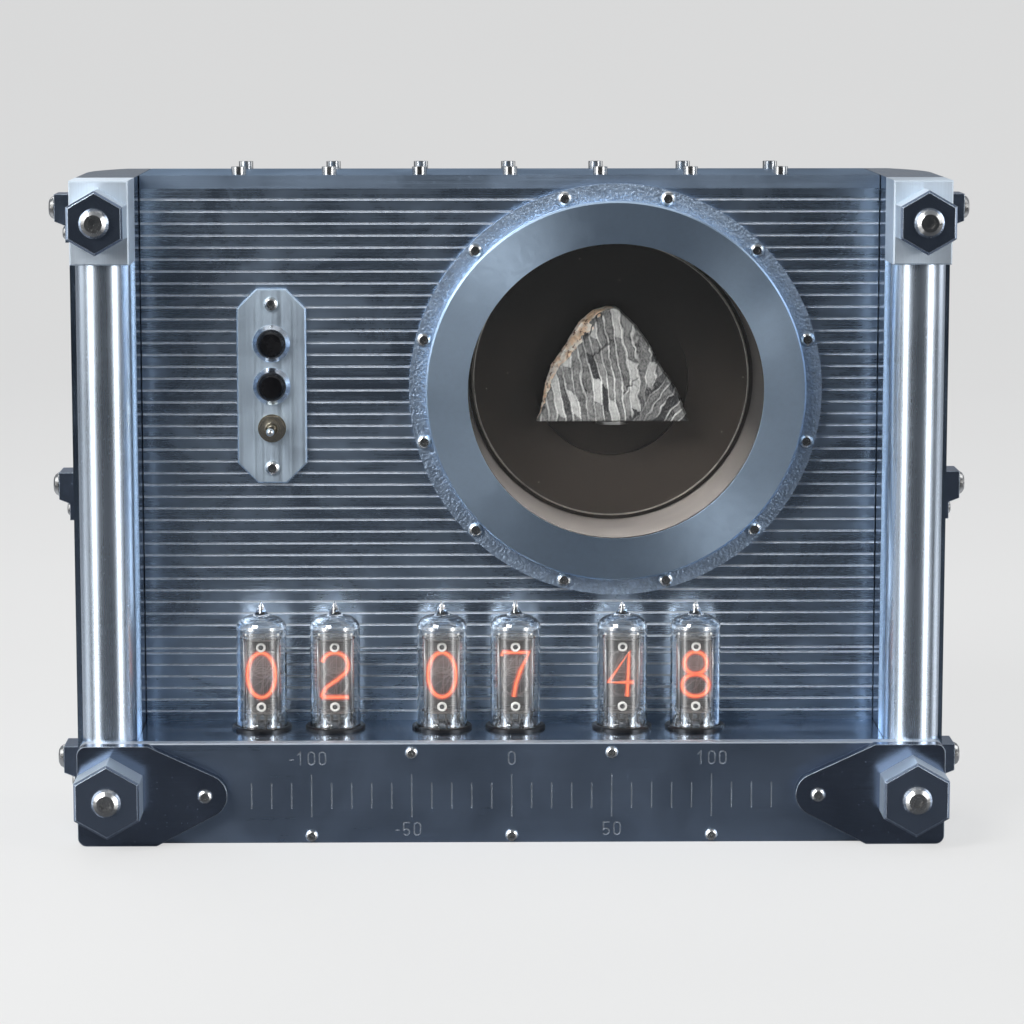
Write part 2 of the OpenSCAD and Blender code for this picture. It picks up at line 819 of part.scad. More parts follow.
// Countersunk screws of one size: rear edge of the bottom plate and the bezel
module flat_screws() {
  color("silver") place() {
    for (x = foot_columns)
      translate([x, top_row_rear, seat]) rotate([180, 0, 0]) flat_screw(m3, flat_length, m3_head, flat_high, m3_socket);
    bezel_places() translate([0, 0, seat - flange_thick]) rotate([180, 0, 0])
      flat_screw(m3, flat_length, m3_head, flat_high, m3_socket);
  }
}

module side_trim(s) {
  color("slategray") place() mirror_side(s) difference() {
    translate([half_width, trim_front, trim_low]) cube([trim_thick, trim_rear - trim_front, trim_high - trim_low]);
    clamp_places() {
      translate([half_width + trim_thick + eps, 0, -clamp_drop]) to_side(1) screw_hole(m5, trim_thick + 2 * eps);
      translate([half_width + trim_thick + eps, 0, -clamp_toe_drop]) to_side(1) screw_hole(m3, trim_thick + 2 * eps);
    }
  }
}

module side_trim_left() {
  side_trim(-1);
}

module side_trim_right() {
  side_trim(1);
}

module side_clamps() {
  color("slategray") place() for (s = [-1, 1]) mirror_side(s) clamp_places()
    translate([half_width + trim_thick, 0, 0]) difference() {
      translate([0, clamp_width / 2, 0]) to_front() linear_extrude(height = clamp_width) polygon([
        [0, 0], [clamp_thick, 0], [clamp_thick, -clamp_drop - 4.8], [clamp_toe, -clamp_toe_drop + 3],
        [clamp_toe, -clamp_height], [0, -clamp_height]
      ]);
      translate([clamp_thick + eps, 0, -clamp_drop]) to_side(1) screw_hole(m5, clamp_thick + 2 * eps);
      translate([clamp_toe + eps, 0, -clamp_toe_drop]) to_side(1) screw_hole(m3, clamp_toe + 2 * eps);
    }
}

module clamp_screws() {
  color("silver") place() for (s = [-1, 1]) mirror_side(s) clamp_places()
    translate([half_width + trim_thick + clamp_thick, 0, -clamp_drop]) to_side(1)
      button_screw(m5, m5_length, m5_head, m5_head_high, m5_socket);
}

// Short screws of one size: gussets, clamp toes, control plate and boards
module m3_screws() {
  color("silver") place() {
    for (s = [-1, 1]) {
      translate([s * gusset_reach, -gusset_thick, sill_height / 2]) to_front() m3_screw();
      mirror_side(s) clamp_places()
        translate([half_width + trim_thick + clamp_toe, 0, -clamp_toe_drop]) to_side(1) m3_screw();
    }
    control_screw_places() m3_screw();
    tube_posts() translate([0, 0, -post_high - board_thick]) rotate([180, 0, 0]) m3_screw();
    main_posts() translate([0, 0, post_high + board_thick]) m3_screw();
  }
}

module flange_places() {
  for (k = [0:flange_count - 1])
    translate([porthole_x, flange_y, porthole_z]) to_front() rotate([0, 0, 15 + k * 360 / flange_count])
      translate([flange_circle, 0, 0]) children();
}

module bezel_places() {
  for (k = [0:bezel_count - 1])
    translate([porthole_x, flange_y, porthole_z]) to_front() rotate([0, 0, 30 + k * 360 / bezel_count])
      translate([bezel_circle, 0, 0]) children();
}

module porthole_flange() {
  color("darkgray") place() difference() {
    translate([porthole_x, panel_y, porthole_z]) to_front() difference() {
      cylinder(d = flange_diameter, h = flange_thick, $fn = 96);
      translate([0, 0, -eps]) cylinder(d = barrel_outer + 2 * slip, h = flange_thick + 2 * eps, $fn = 96);
    }
    flange_places() translate([0, 0, eps]) screw_hole(m3, flange_thick + 2 * eps);
    bezel_places() translate([0, 0, seat - flange_thick]) rotate([180, 0, 0]) flat_hole(flange_thick);
  }
}

module flange_screws() {
  color("silver") place() flange_places() button_screw(m3, flange_screw_length, m3_head, m3_head_high, m3_socket);
}

module porthole_bezel() {
  color("gainsboro") place() difference() {
    translate([porthole_x, flange_y, porthole_z]) to_front() difference() {
      rotate_extrude($fn = 96) polygon([
        [porthole_bore / 2, bezel_thick], [bezel_diameter / 2 - 0.6, bezel_thick], [bezel_diameter / 2, bezel_thick - 0.6],
        [bezel_diameter / 2, 0], [glass_diameter / 2 + seat, 0], [glass_diameter / 2 + seat, gasket_thick + glass_thick],
        [porthole_bore / 2, gasket_thick + glass_thick]
      ]);
    }
    bezel_places() translate([0, 0, -eps]) cylinder(d = m3 + 2 * screw_fit, h = bezel_depth + eps + seat);
  }
}

module porthole_glass() {
  color("lightcyan", 0.3) place() translate([porthole_x, glass_seat, porthole_z]) to_front()
    cylinder(d = glass_diameter, h = glass_thick, $fn = 96);
}

module glass_gasket() {
  color("dimgray") place() translate([porthole_x, flange_y, porthole_z]) to_front() difference() {
    cylinder(d = glass_diameter, h = gasket_thick, $fn = 96);
    translate([0, 0, -eps]) cylinder(d = porthole_bore + 2 * seat, h = gasket_thick + 2 * eps, $fn = 96);
  }
}

module porthole_barrel() {
  color("rosybrown") place() translate([porthole_x, rear_y, porthole_z]) to_front() difference() {
    cylinder(d = barrel_outer, h = rear_y - flange_y, $fn = 96);
    translate([0, 0, -eps]) cylinder(d = porthole_bore, h = rear_y - flange_y + 2 * eps, $fn = 96);
  }
}

module back_disc() {
  r = disc_diameter / 2;
  step_z = disc_thick - disc_recess_depth;
  color("saddlebrown") place() translate([porthole_x, rear_y, porthole_z]) to_front() difference() {
    rotate_extrude($fn = 96) polygon([
      [0, 0], [r, 0], [r, step_z], [r - disc_step, step_z], [r - disc_step, disc_thick - edge_bevel],
      [r - disc_step - edge_bevel, disc_thick], [0, disc_thick]
    ]);
    translate([0, 0, disc_thick - disc_recess_depth]) cylinder(d = disc_recess, h = disc_recess_depth + eps, $fn = 64);
    translate([0, pin_z - porthole_z, -eps]) cylinder(d = pin_spigot + 2 * screw_fit, h = disc_thick + 2 * eps);
  }
}

// Slice with a flat foot and an uneven peak, in shares of its width and height
module meteorite() {
  w = slice_width / 2;
  h = slice_height;
  color("dimgray") place() difference() {
    translate([slice_x, slice_y + slice_thick, slice_foot]) to_front() linear_extrude(height = slice_thick) polygon([
      [-w, 0], [-w * 0.945, h * 0.1], [-w * 0.885, h * 0.33], [-w * 0.8, h * 0.5], [-w * 0.64, h * 0.645],
      [-w * 0.45, h * 0.86], [-w * 0.26, h * 0.968], [-w * 0.03, h], [w * 0.1, h * 0.968], [w * 0.31, h * 0.83],
      [w * 0.465, h * 0.69], [w * 0.62, h * 0.49], [w * 0.85, h * 0.27], [w * 0.985, h * 0.03], [w, 0]
    ]);
    translate([porthole_x, slice_y + slice_thick + eps, pin_z]) to_front()
      cylinder(d = pin_spigot + 2 * screw_fit, h = pin_bite + eps + seat);
  }
}

module meteorite_pin() {
  shoulder_y = rear_y - disc_thick + disc_recess_depth;
  middle_y = slice_y + slice_thick / 2;
  color("silver") place() {
    translate([porthole_x, middle_y, slice_foot - rest_thick]) cylinder(d = rest_width, h = rest_thick);
    translate([porthole_x - rest_width / 2, middle_y, slice_foot - rest_thick])
      cube([rest_width, shoulder_y - middle_y, rest_thick]);
    translate([porthole_x - rest_width / 2, shoulder_y - 1.5, slice_foot - rest_thick])
      cube([rest_width, 1.5, pin_z - slice_foot + rest_thick]);
    translate([porthole_x, shoulder_y, pin_z]) to_front() cylinder(d = rest_width, h = 1.5);
    translate([porthole_x, shoulder_y, pin_z]) to_front() cylinder(d = pin_diameter, h = shoulder_y - slice_y - slice_thick);
    translate([porthole_x, rear_y + rear_thick / 2, pin_z]) to_front()
      cylinder(d = pin_spigot, h = rear_y + rear_thick / 2 - slice_y - slice_thick + pin_bite);
  }
}

module control_plate() {
  x = control_width / 2;
  z = control_height / 2;
  c = control_cut;
  points = [
    [-x, c - z], [c - x, -z], [x - c, -z], [x, c - z], [x, z - c], [x - c, z], [c - x, z], [-x, z - c]
  ];
  color("gainsboro") place() difference() {
    translate([-control_x, panel_y, control_z]) to_front() difference() {
      linear_extrude(height = control_thick) polygon(points);
      for (k = [0:7]) edge_cut(points[k], points[(k + 1) % 8], control_thick);
    }
    for (z = [button_up_z, button_low_z])
      translate([-control_x, panel_y + eps, z]) to_front() cylinder(d = bush_diameter + 2 * screw_fit, h = control_thick + 2 * eps);
    translate([-control_x, panel_y + eps, toggle_z]) to_front() cylinder(d = toggle_bush + 2 * screw_fit, h = control_thick + 2 * eps);
    control_screw_places() translate([0, 0, eps]) screw_hole(m3, control_thick + 2 * eps);
  }
}

module button_places() {
  for (z = [button_up_z, button_low_z]) translate([-control_x, control_y, z]) to_front() children();
}

module button_bodies() {
  color("silver") place() button_places() difference() {
    union() {
      cylinder(d = bezel_ring, h = bezel_ring_edge);
      translate([0, 0, bezel_ring_edge])
        cylinder(d1 = bezel_ring, d2 = cap_diameter + bezel_ring_lip, h = bezel_ring_high - bezel_ring_edge);
      translate([0, 0, -button_body_length]) cylinder(d = bush_diameter, h = button_body_length + eps);
      for (s = [-1, 1]) translate([s * 3 - 0.4, -1.2, -button_body_length - 5]) cube([0.8, 2.4, 6]);
    }
    translate([0, 0, -cap_depth - button_travel - seat])
      cylinder(d = cap_diameter + 2 * cap_fit, h = cap_depth + button_travel + bezel_ring_high + eps);
  }
}

module button_nuts() {
  color("silver") place() button_places() translate([0, 0, -control_thick - button_nut_high]) difference() {
    cylinder(d = button_nut_flats / cos(30), h = button_nut_high, $fn = 6);
    translate([0, 0, -eps]) cylinder(d = bush_diameter + 2 * screw_fit, h = button_nut_high + 2 * eps);
  }
}

module button_cap(z) {
  color("black") place() translate([-control_x, control_y, z]) to_front() rotate_extrude() polygon([
    [0, -cap_depth], [cap_diameter / 2, -cap_depth], [cap_diameter / 2, bezel_ring_high + cap_proud - 0.8],
    [cap_diameter / 2 - 0.8, bezel_ring_high + cap_proud], [0, bezel_ring_high + cap_proud]
  ]);
}

module upper_button() {
  button_cap(button_up_z);
}

module lower_button() {
  button_cap(button_low_z);
}

module toggle_body() {
  back = panel_y;
  color("silver") place() translate([-control_x, 0, toggle_z]) difference() {
    union() {
      translate([-toggle_body_width / 2, back, -toggle_body_high / 2]) cube([toggle_body_width, toggle_body_depth, toggle_body_high]);
      translate([0, back + eps, 0]) to_front() cylinder(d = toggle_bush, h = control_thick + toggle_bush_front + eps);
      for (k = [-1:1]) translate([-1, back + toggle_body_depth - eps, k * 4.7 - 0.4]) cube([2, 5, 0.8]);
    }
    translate([0, toggle_pivot_y + toggle_ball / 2 + seat, 0]) to_front() cylinder(d = toggle_ball + 2 * cap_fit, h = toggle_bush_front + toggle_ball);
    translate([0, control_y - toggle_bush_front, 0]) to_front() translate([0, 0, -1.2])
      cylinder(d1 = toggle_ball + 2 * cap_fit, d2 = toggle_bush - 0.6, h = 1.2 + 0.01);
  }
}

module toggle_nut() {
  color("silver") place() translate([-control_x, control_y, toggle_z]) to_front() difference() {
    union() {
      cylinder(d = toggle_nut_flats + 1.4, h = 0.6);
      cylinder(d = toggle_nut_flats / cos(30) - 0.4, h = toggle_nut_high, $fn = 6);
    }
    translate([0, 0, -eps]) cylinder(d = toggle_bush + 2 * screw_fit, h = toggle_nut_high + 2 * eps);
  }
}

module toggle_lever() {
  color("silver") place() translate([-control_x, toggle_pivot_y, toggle_z]) to_front() {
    sphere(d = toggle_ball);
    cylinder(d1 = toggle_rod, d2 = toggle_tip, h = toggle_length);
    translate([0, 0, toggle_length]) sphere(d = toggle_tip);
  }
}

module tube_rings() {
  color("black") place() for (i = [0:5]) translate([tube_x(i), tube_depth, 0]) rotate_extrude() polygon([
    [ring_low_bore / 2, shelf_z], [ring_spigot / 2, shelf_z], [ring_spigot / 2, sill_height],
    [ring_diameter / 2, sill_height], [ring_diameter / 2, sill_height + ring_high - 0.5],
    [ring_diameter / 2 - 0.5, sill_height + ring_high], [ring_bore / 2, sill_height + ring_high],
    [ring_bore / 2, ring_seat_z], [ring_low_bore / 2, ring_seat_z]
  ]);
}

// Quarter arc of the dome from the shoulder to the neck
function dome(r, z0, z1, neck) =
  [for (k = [0:6]) let (a = k * 15) [neck + (r - neck) * cos(a), z0 + (z1 - z0) * sin(a)]];

module tube_glass(i) {
  r = tube_diameter / 2;
  inner = r - glass_wall;
  color("aliceblue", 0.3) place() translate([tube_x(i), tube_depth, 0]) rotate_extrude() polygon(concat(
    [[inner, ring_seat_z], [r, ring_seat_z]],
    dome(r, shoulder_z, dome_z, nipple),
    [[nipple * 0.7, tube_top - 4.2], [nipple * 0.4, tube_top - 2.4], [nipple * 0.2, tube_top - 0.8], [nipple * 0.12, tube_top]],
    [[0, tube_top], [0, dome_z - glass_wall]],
    [for (k = [6:-1:1]) dome(inner, shoulder_z, dome_z - glass_wall, 0.5)[k]],
    [[inner, shoulder_z]]
  ));
}

module tube_electrodes(i) {
  color("orange") place() translate([tube_x(i), tube_depth, 0]) {
    translate([0, 0, ring_seat_z]) cylinder(r = stem_radius, h = stem_thick);
    for (k = [0:lead_count - 1])
      rotate([0, 0, (k + 0.5) * 360 / lead_count]) translate([lead_circle, 0, lead_end])
        cylinder(d = lead, h = ring_seat_z + 1 - lead_end);
    for (z = [mica_low, mica_high]) translate([0, 0, z]) cylinder(r = mica_radius, h = mica_thick);
    for (s = [-1, 1]) translate([s * 6, 1.5, ring_seat_z + 1]) cylinder(d = rod, h = mica_high + 1.5 - ring_seat_z - 1);
    translate([0, 0, mica_low]) difference() {
      cylinder(r = mica_radius - 0.2, h = mica_high - mica_low + 0.1);
      translate([0, 0, -eps]) cylinder(r = mica_radius - 0.2 - anode_wall, h = mica_high - mica_low + 2 * eps);
      translate([-mica_radius, -2 * mica_radius, -eps]) cube([2 * mica_radius, 2 * mica_radius, mica_high]);
    }
    translate([0, -digit_forward, digit_z]) numeral(digits_lit[i], digit_high, digit_stroke, digit_thick);
    translate([tab_low(digits_lit[i]), -digit_forward, mica_low]) cube([tab, digit_thick, tab_high]);
    translate([tab_up(digits_lit[i]), -digit_forward, mica_high - tab_high]) cube([tab, digit_thick, tab_high + mica_thick / 2]);
  }
}

module tube_1_glass() {
  tube_glass(0);
}

module tube_2_glass() {
  tube_glass(1);
}

module tube_3_glass() {
  tube_glass(2);
}

module tube_4_glass() {
  tube_glass(3);
}

module tube_5_glass() {
  tube_glass(4);
}

module tube_6_glass() {
  tube_glass(5);
}

module tube_1_electrodes() {
  tube_electrodes(0);
}

module tube_2_electrodes() {
  tube_electrodes(1);
}

module tube_3_electrodes() {
  tube_electrodes(2);
}

module tube_4_electrodes() {
  tube_electrodes(3);
}

module tube_5_electrodes() {
  tube_electrodes(4);
}

module tube_6_electrodes() {
  tube_electrodes(5);
}

module tube_posts() {
  for (x = [tube_x(0) - post_out, tube_x(5) + post_out])
    for (y = [-post_side, post_side])
      translate([x, tube_depth + y, shelf_z]) children();
}

module main_posts() {
  for (x = [main_board_left + post_inset, main_board_right - post_inset])
    for (y = [main_board_front + post_inset, main_board_rear - post_inset])
      translate([x, y, bottom_thick]) children();
}

module board_post() {
  difference() {
    union() {
      cylinder(d = post_flats / cos(30), h = post_high, $fn = 6);
      translate([0, 0, -post_stud]) cylinder(d = m3, h = post_stud + eps);
    }
    translate([0, 0, post_high - m3_length + board_thick - seat]) cylinder(d = m3 + 2 * screw_fit, h = m3_length);
  }
}

module board_posts() {
  color("gold") place() {
    tube_posts() rotate([180, 0, 0]) board_post();
    main_posts() board_post();
  }
}

module tube_board() {
  x0 = tube_x(0) - post_out - post_inset;
  x1 = tube_x(5) + post_out + post_inset;
  y = post_side + post_inset;
  color("darkgreen") place() difference() {
    translate([x0, tube_depth - y, tube_board_top - board_thick]) cube([x1 - x0, 2 * y, board_thick]);
    tube_posts() translate([0, 0, -post_high - board_thick - eps]) cylinder(d = m3 + 2 * screw_fit, h = board_thick + 2 * eps);
    for (i = [0:5])
      for (k = [0:lead_count - 1])
        translate([tube_x(i), tube_depth, tube_board_top - board_thick - eps])
          rotate([0, 0, (k + 0.5) * 360 / lead_count]) translate([lead_circle, 0, 0])
            cylinder(d = lead + 2 * screw_fit, h = board_thick + 2 * eps);
  }
}

module main_board() {
  top = main_board_z + board_thick;
  mid_y = (main_board_front + main_board_rear) / 2;
  color("darkgreen") place() difference() {
    union() {
      translate([main_board_left, main_board_front, main_board_z])
        cube([main_board_right - main_board_left, main_board_rear - main_board_front, board_thick]);
      translate([main_board_right - 22, mid_y, top - eps]) cylinder(d = 13, h = 9 + eps);
      translate([main_board_right - 38, mid_y, top - eps]) cylinder(d = 10, h = 16 + eps);
      translate([main_board_left + 20, mid_y - 5, top - eps]) cube([22, 10, 4 + eps]);
      translate([main_board_left + 52, mid_y - 4, top - eps]) cube([14, 8, 3 + eps]);
      translate([main_board_left + 74, mid_y - 4, top - eps]) cube([14, 8, 3 + eps]);
      translate([main_board_left + 46, mid_y - 11, top - eps]) cube([30, 5, 7 + eps]);
    }
    main_posts() translate([0, 0, post_high - eps]) cylinder(d = m3 + 2 * screw_fit, h = board_thick + 2 * eps);
  }
}

module power_jack() {
  color("black") place() translate([jack_x, case_depth, jack_z]) difference() {
    union() {
      translate([0, jack_flange, 0]) to_front() cylinder(d = jack_body, h = jack_flange);
      translate([0, jack_flange, 0]) to_front() cylinder(d = jack_throat, h = jack_flange + rear_thick + jack_length);
    }
    translate([0, jack_flange + eps, 0]) to_front() difference() {
      cylinder(d = jack_hole, h = jack_bore + eps);
      cylinder(d = jack_pin, h = jack_bore + 2 * eps);
    }
  }
}

scale_plate();
shelf_plate();
bottom_plate();
side_wall_left();
side_wall_right();
front_panel();
lower_panel();
top_plate();
rear_plate();
corner_block_left();
corner_block_right();
column_left();
column_right();
gusset_left();
gusset_right();
corner_hexes();
corner_screws();
top_screws();
scale_screws();
frame_screws();
flat_screws();
side_trim_left();
side_trim_right();
side_clamps();
clamp_screws();
m3_screws();
porthole_flange();
flange_screws();
porthole_bezel();
porthole_glass();
glass_gasket();
porthole_barrel();
back_disc();
meteorite();
meteorite_pin();
control_plate();
button_bodies();
button_nuts();
upper_button();
lower_button();
toggle_body();
toggle_nut();
toggle_lever();
tube_rings();
tube_board();
main_board();
board_posts();
power_jack();
tube_1_glass();
tube_2_glass();
tube_3_glass();
tube_4_glass();
tube_5_glass();
tube_6_glass();
tube_1_electrodes();
tube_2_electrodes();
tube_3_electrodes();
tube_4_electrodes();
tube_5_electrodes();
tube_6_electrodes();
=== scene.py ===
import math

import bmesh
import bpy
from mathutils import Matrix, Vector, noise


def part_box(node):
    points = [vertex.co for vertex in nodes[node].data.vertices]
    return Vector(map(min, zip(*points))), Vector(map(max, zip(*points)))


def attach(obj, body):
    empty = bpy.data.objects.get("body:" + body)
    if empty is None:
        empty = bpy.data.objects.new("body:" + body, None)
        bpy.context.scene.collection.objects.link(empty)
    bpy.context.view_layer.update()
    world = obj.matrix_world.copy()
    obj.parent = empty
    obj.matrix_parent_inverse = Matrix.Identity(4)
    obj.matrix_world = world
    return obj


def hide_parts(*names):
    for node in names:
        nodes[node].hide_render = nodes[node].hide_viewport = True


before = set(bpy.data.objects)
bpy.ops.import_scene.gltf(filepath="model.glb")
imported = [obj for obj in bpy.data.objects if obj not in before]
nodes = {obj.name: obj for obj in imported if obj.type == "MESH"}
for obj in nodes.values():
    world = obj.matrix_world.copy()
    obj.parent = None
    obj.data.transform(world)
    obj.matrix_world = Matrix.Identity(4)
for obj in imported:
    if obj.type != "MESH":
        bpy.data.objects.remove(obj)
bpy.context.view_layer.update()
scene = bpy.context.scene
scene.view_settings.view_transform = "Standard"
MM = 0.001


# Places taken from the CAD, in millimetres

def box_mm(name):
    """The lowest and the highest corner of a CAD node."""
    return [[round(c / MM, 3) for c in corner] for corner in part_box(name)]


def middle(name):
    """The middle of a CAD node's box."""
    return [round((low + high) / 2, 3) for low, high in zip(*box_mm(name))]


TUBES = range(1, 7)
PORTHOLE = middle("porthole_barrel")
PANEL_FRONT = box_mm("front_panel")[0][1]
SCALE_FRONT = box_mm("scale_plate")[0][1]


# Camera, placed as it was for the photo

LENS_MM = 124.77
SENSOR_MM = 36
CAMERA_SPOT = (-0.0181, -1.3237, 0.3074)
CAMERA_TILT, CAMERA_PAN = 81.867, -0.813
NEAREST = 0.01

camera = bpy.data.cameras.new("camera")
camera.lens = LENS_MM
camera.sensor_width = SENSOR_MM
camera.sensor_fit = "HORIZONTAL"
camera.clip_start = NEAREST
camera_object = bpy.data.objects.new("camera", camera)
camera_object.location = CAMERA_SPOT
camera_object.rotation_euler = (math.radians(CAMERA_TILT), 0, math.radians(CAMERA_PAN))
scene.collection.objects.link(camera_object)
scene.camera = camera_object


# Small helpers for shader nodes

NOISE_LOW, NOISE_HIGH = 0.3, 0.7
MIX_SHARE, MIX_A, MIX_B, MIX_RESULT = 0, 6, 7, 2


def feed(tree, socket, value):
    """Links a socket to another node's output, or sets it to a number or a colour."""
    if isinstance(value, bpy.types.NodeSocket):
        tree.links.new(value, socket)
    else:
        socket.default_value = value


def add(tree, kind, inputs=None, **props):
    """A new shader node: inputs take numbers, colours or another node's socket."""
    node = tree.nodes.new("ShaderNode" + kind)
    for key, value in props.items():
        setattr(node, key, value)
    for key, value in (inputs or {}).items():
        feed(tree, node.inputs[key], value)
    return node


def rgba(colour, gain=1.0):
    """A colour as a socket takes it, made brighter or darker by a gain."""
    return tuple(min(1.0, c * gain) for c in colour) + (1.0,)


def start(name):
    """An empty material with a Principled shader: (material, tree, shader)."""
    material = bpy.data.materials.new(name)
    material.use_nodes = True
    tree = material.node_tree
    tree.nodes.clear()
    shader = add(tree, "BsdfPrincipled")
    add(tree, "OutputMaterial", {"Surface": shader.outputs[0]})
    return material, tree, shader


def put(tree, shader, **values):
    """Sets or links the shader's sockets; underscores stand for spaces."""
    for key, value in values.items():
        feed(tree, shader.inputs[key.replace("_", " ")], value)


def find(material, kind):
    """The first node of one kind in a material."""
    return next(n for n in material.node_tree.nodes if n.type == kind)


def blend(tree, share, first, second):
    """Sends a blend of two shaders to the material's output."""
    both = add(tree, "MixShader", {0: share, 1: first.outputs[0], 2: second.outputs[0]})
    tree.links.new(both.outputs[0], tree.nodes["Material Output"].inputs["Surface"])


def place(tree, stretch=(1, 1, 1)):
    """Object coordinates in millimetres, stretched per axis."""
    coords = add(tree, "TexCoord")
    scale = tuple(s / MM for s in stretch)
    return add(tree, "Mapping", {"Vector": coords.outputs["Object"], "Scale": scale}).outputs[0]


def axis(tree, which):
    """One object coordinate in millimetres."""
    return add(tree, "SeparateXYZ", {"Vector": place(tree)}).outputs[which]


def cloud(tree, scale, detail=3.0, stretch=(1, 1, 1), rough=0.5, distort=0.0):
    """Noise over the object, with about this many waves to a millimetre."""
    inputs = {"Scale": scale, "Detail": detail, "Roughness": rough, "Distortion": distort}
    return add(tree, "TexNoise", {"Vector": place(tree, stretch), **inputs}).outputs[0]


def span(tree, value, low, high, to_low=0.0, to_high=1.0):
    """Carries a value from one range to another and holds it at the ends."""
    inputs = {"From Min": low, "From Max": high, "To Min": to_low, "To Max": to_high}
    return add(tree, "MapRange", {"Value": value, **inputs}).outputs[0]


def vary(tree, pattern, low=0.0, high=1.0):
    """Carries the usual range of a noise to another range."""
    return span(tree, pattern, NOISE_LOW, NOISE_HIGH, low, high)


def maths(tree, operation, a, b=0.0):
    """One sum on two numbers or sockets."""
    return add(tree, "Math", {0: a, 1: b}, operation=operation).outputs[0]


def mix(tree, share, a, b):
    """Blend of two colours by a share from 0 to 1."""
    inputs = {MIX_SHARE: share, MIX_A: a, MIX_B: b}
    return add(tree, "Mix", inputs, data_type="RGBA").outputs[MIX_RESULT]


def bump(tree, height, strength, distance_mm):
    """A normal that follows a height pattern."""
    inputs = {"Height": height, "Strength": strength, "Distance": distance_mm * MM}
    return add(tree, "Bump", inputs).outputs[0]


def upright(tree):
    """A tangent along Z, which draws a shine out across it."""
    return add(tree, "CombineXYZ", {"X": 0.0, "Y": 0.0, "Z": 1.0}).outputs[0]


# Materials

# How close a pattern is along X, Y and Z: a low number draws it out into brush lines
ALONG_X = (0.015, 3.0, 3.0)
ALONG_Z = (3.0, 3.0, 0.015)
PANEL_GRAIN = (0.012, 2.0, 2.4)
EVEN = (1.0, 1.0, 1.0)

# Cut metal, and the painted highlight on edges; depths in mm behind the front at which a cut begins and is
# full
CUT_ROUGH, EDGE_HIGHLIGHT_ROUGH = 0.55, 0.45
EDGE_HIGHLIGHT = (0.66, 0.75, 0.86)
GROOVE_BEGINS, GROOVE_FULL = 0.08, 0.3
MARK_BEGINS, MARK_FULL = 0.04, 0.14
BEVEL_SAMPLES = 4
QUARTER_TURN = 0.25

# Inside the porthole: heights in mm at which painted shade above gives way to lighter paint below, and radii
# in mm on the disc, where its worn rim comes in and goes out, and where the painted shade of its recessed
# middle ends
DUST, DISC_DUST, DISC_METAL = (0.6, 0.56, 0.5), (0.5, 0.46, 0.4), (0.70, 0.67, 0.62)
BARREL_SHADE_HEIGHTS, DISC_SHADE_HEIGHTS = (150, 120), (196, 116)
RIM_IN, RIM_OUT, RECESS_SHADE = (52.9, 53.2), (53.9, 53.8), (30.3, 29.8)


def metal(name, colour, rough, grain=EVEN, lines=1.0, depth=0.02, stain=0.12, marks=1.0, lathe=0.0):
    """Worked metal: brush lines along the grain, broad stains and marks; lathe draws the shine round Y."""
    material, tree, shader = start(name)
    brush = cloud(tree, lines, 4.0, grain, 0.6)
    smear = cloud(tree, 0.035, 4.0, EVEN, 0.55, 0.6)
    spots = cloud(tree, 0.9, 2.0)
    tone = mix(tree, vary(tree, smear), rgba(colour, 1 - stain), rgba(colour, 1 + stain * 0.5))
    tone = mix(tree, span(tree, brush, 0.35, 0.75, 0.0, 0.22), tone, rgba(colour, 0.72))
    gloss = vary(tree, brush, rough[0], rough[1])
    gloss = maths(tree, "ADD", gloss, span(tree, smear, 0.35, 0.7, -0.03 * marks, 0.07 * marks))
    gloss = maths(tree, "ADD", gloss, span(tree, spots, 0.62, 0.75, 0.0, 0.08 * marks))
    put(tree, shader, Base_Color=tone, Metallic=1.0, Roughness=gloss, Normal=bump(tree, brush, 0.35, depth))
    if lathe:
        around = add(tree, "Tangent", direction_type="RADIAL", axis="Y").outputs[0]
        put(tree, shader, Anisotropic=lathe, Anisotropic_Rotation=QUARTER_TURN, Tangent=around)
    return material


def edged(material, edge_mm, flat_light_tone=None):
    """Gives a worked metal rounded edges with a painted highlight and, if asked, painted light on faces that
    face neither front nor rear, which are also duller.
    """
    tree = material.node_tree
    shader = find(material, "BSDF_PRINCIPLED")
    tone, gloss = (shader.inputs[key].links[0].from_socket for key in ("Base Color", "Roughness"))
    if flat_light_tone:
        # Painted light: faces that face neither front nor rear get a paler colour; their duller roughness is
        # the milled finish
        normal = add(tree, "SeparateXYZ", {"Vector": add(tree, "TexCoord").outputs["Normal"]}).outputs[1]
        flat = span(tree, maths(tree, "ABSOLUTE", normal), 0.5, 0.2)
        tone = mix(tree, flat, tone, rgba(flat_light_tone))
        gloss = maths(tree, "MAXIMUM", gloss, maths(tree, "MULTIPLY", flat, CUT_ROUGH))
    rounded = add(tree, "Bevel", {"Radius": edge_mm * MM}, samples=BEVEL_SAMPLES).outputs[0]
    true = add(tree, "NewGeometry").outputs["True Normal"]
    match = add(tree, "VectorMath", {0: rounded, 1: true}, operation="DOT_PRODUCT").outputs["Value"]
    # Painted highlight: the edges are made paler and rougher; the rounded normal linked below is real shading
    worn = span(tree, match, 0.99, 0.90)
    tone = mix(tree, worn, tone, rgba(EDGE_HIGHLIGHT))
    gloss = maths(tree, "MAXIMUM", gloss, maths(tree, "MULTIPLY", worn, EDGE_HIGHLIGHT_ROUGH))
    put(tree, shader, Base_Color=tone, Roughness=gloss)
    tree.links.new(rounded, find(material, "BUMP").inputs["Normal"])
    return material


def dull_aslant(material, tint):
    """Keeps a metal from turning into a mirror when it is seen at a low angle."""
    put(material.node_tree, find(material, "BSDF_PRINCIPLED"), Specular_Tint=rgba(tint))
    return material


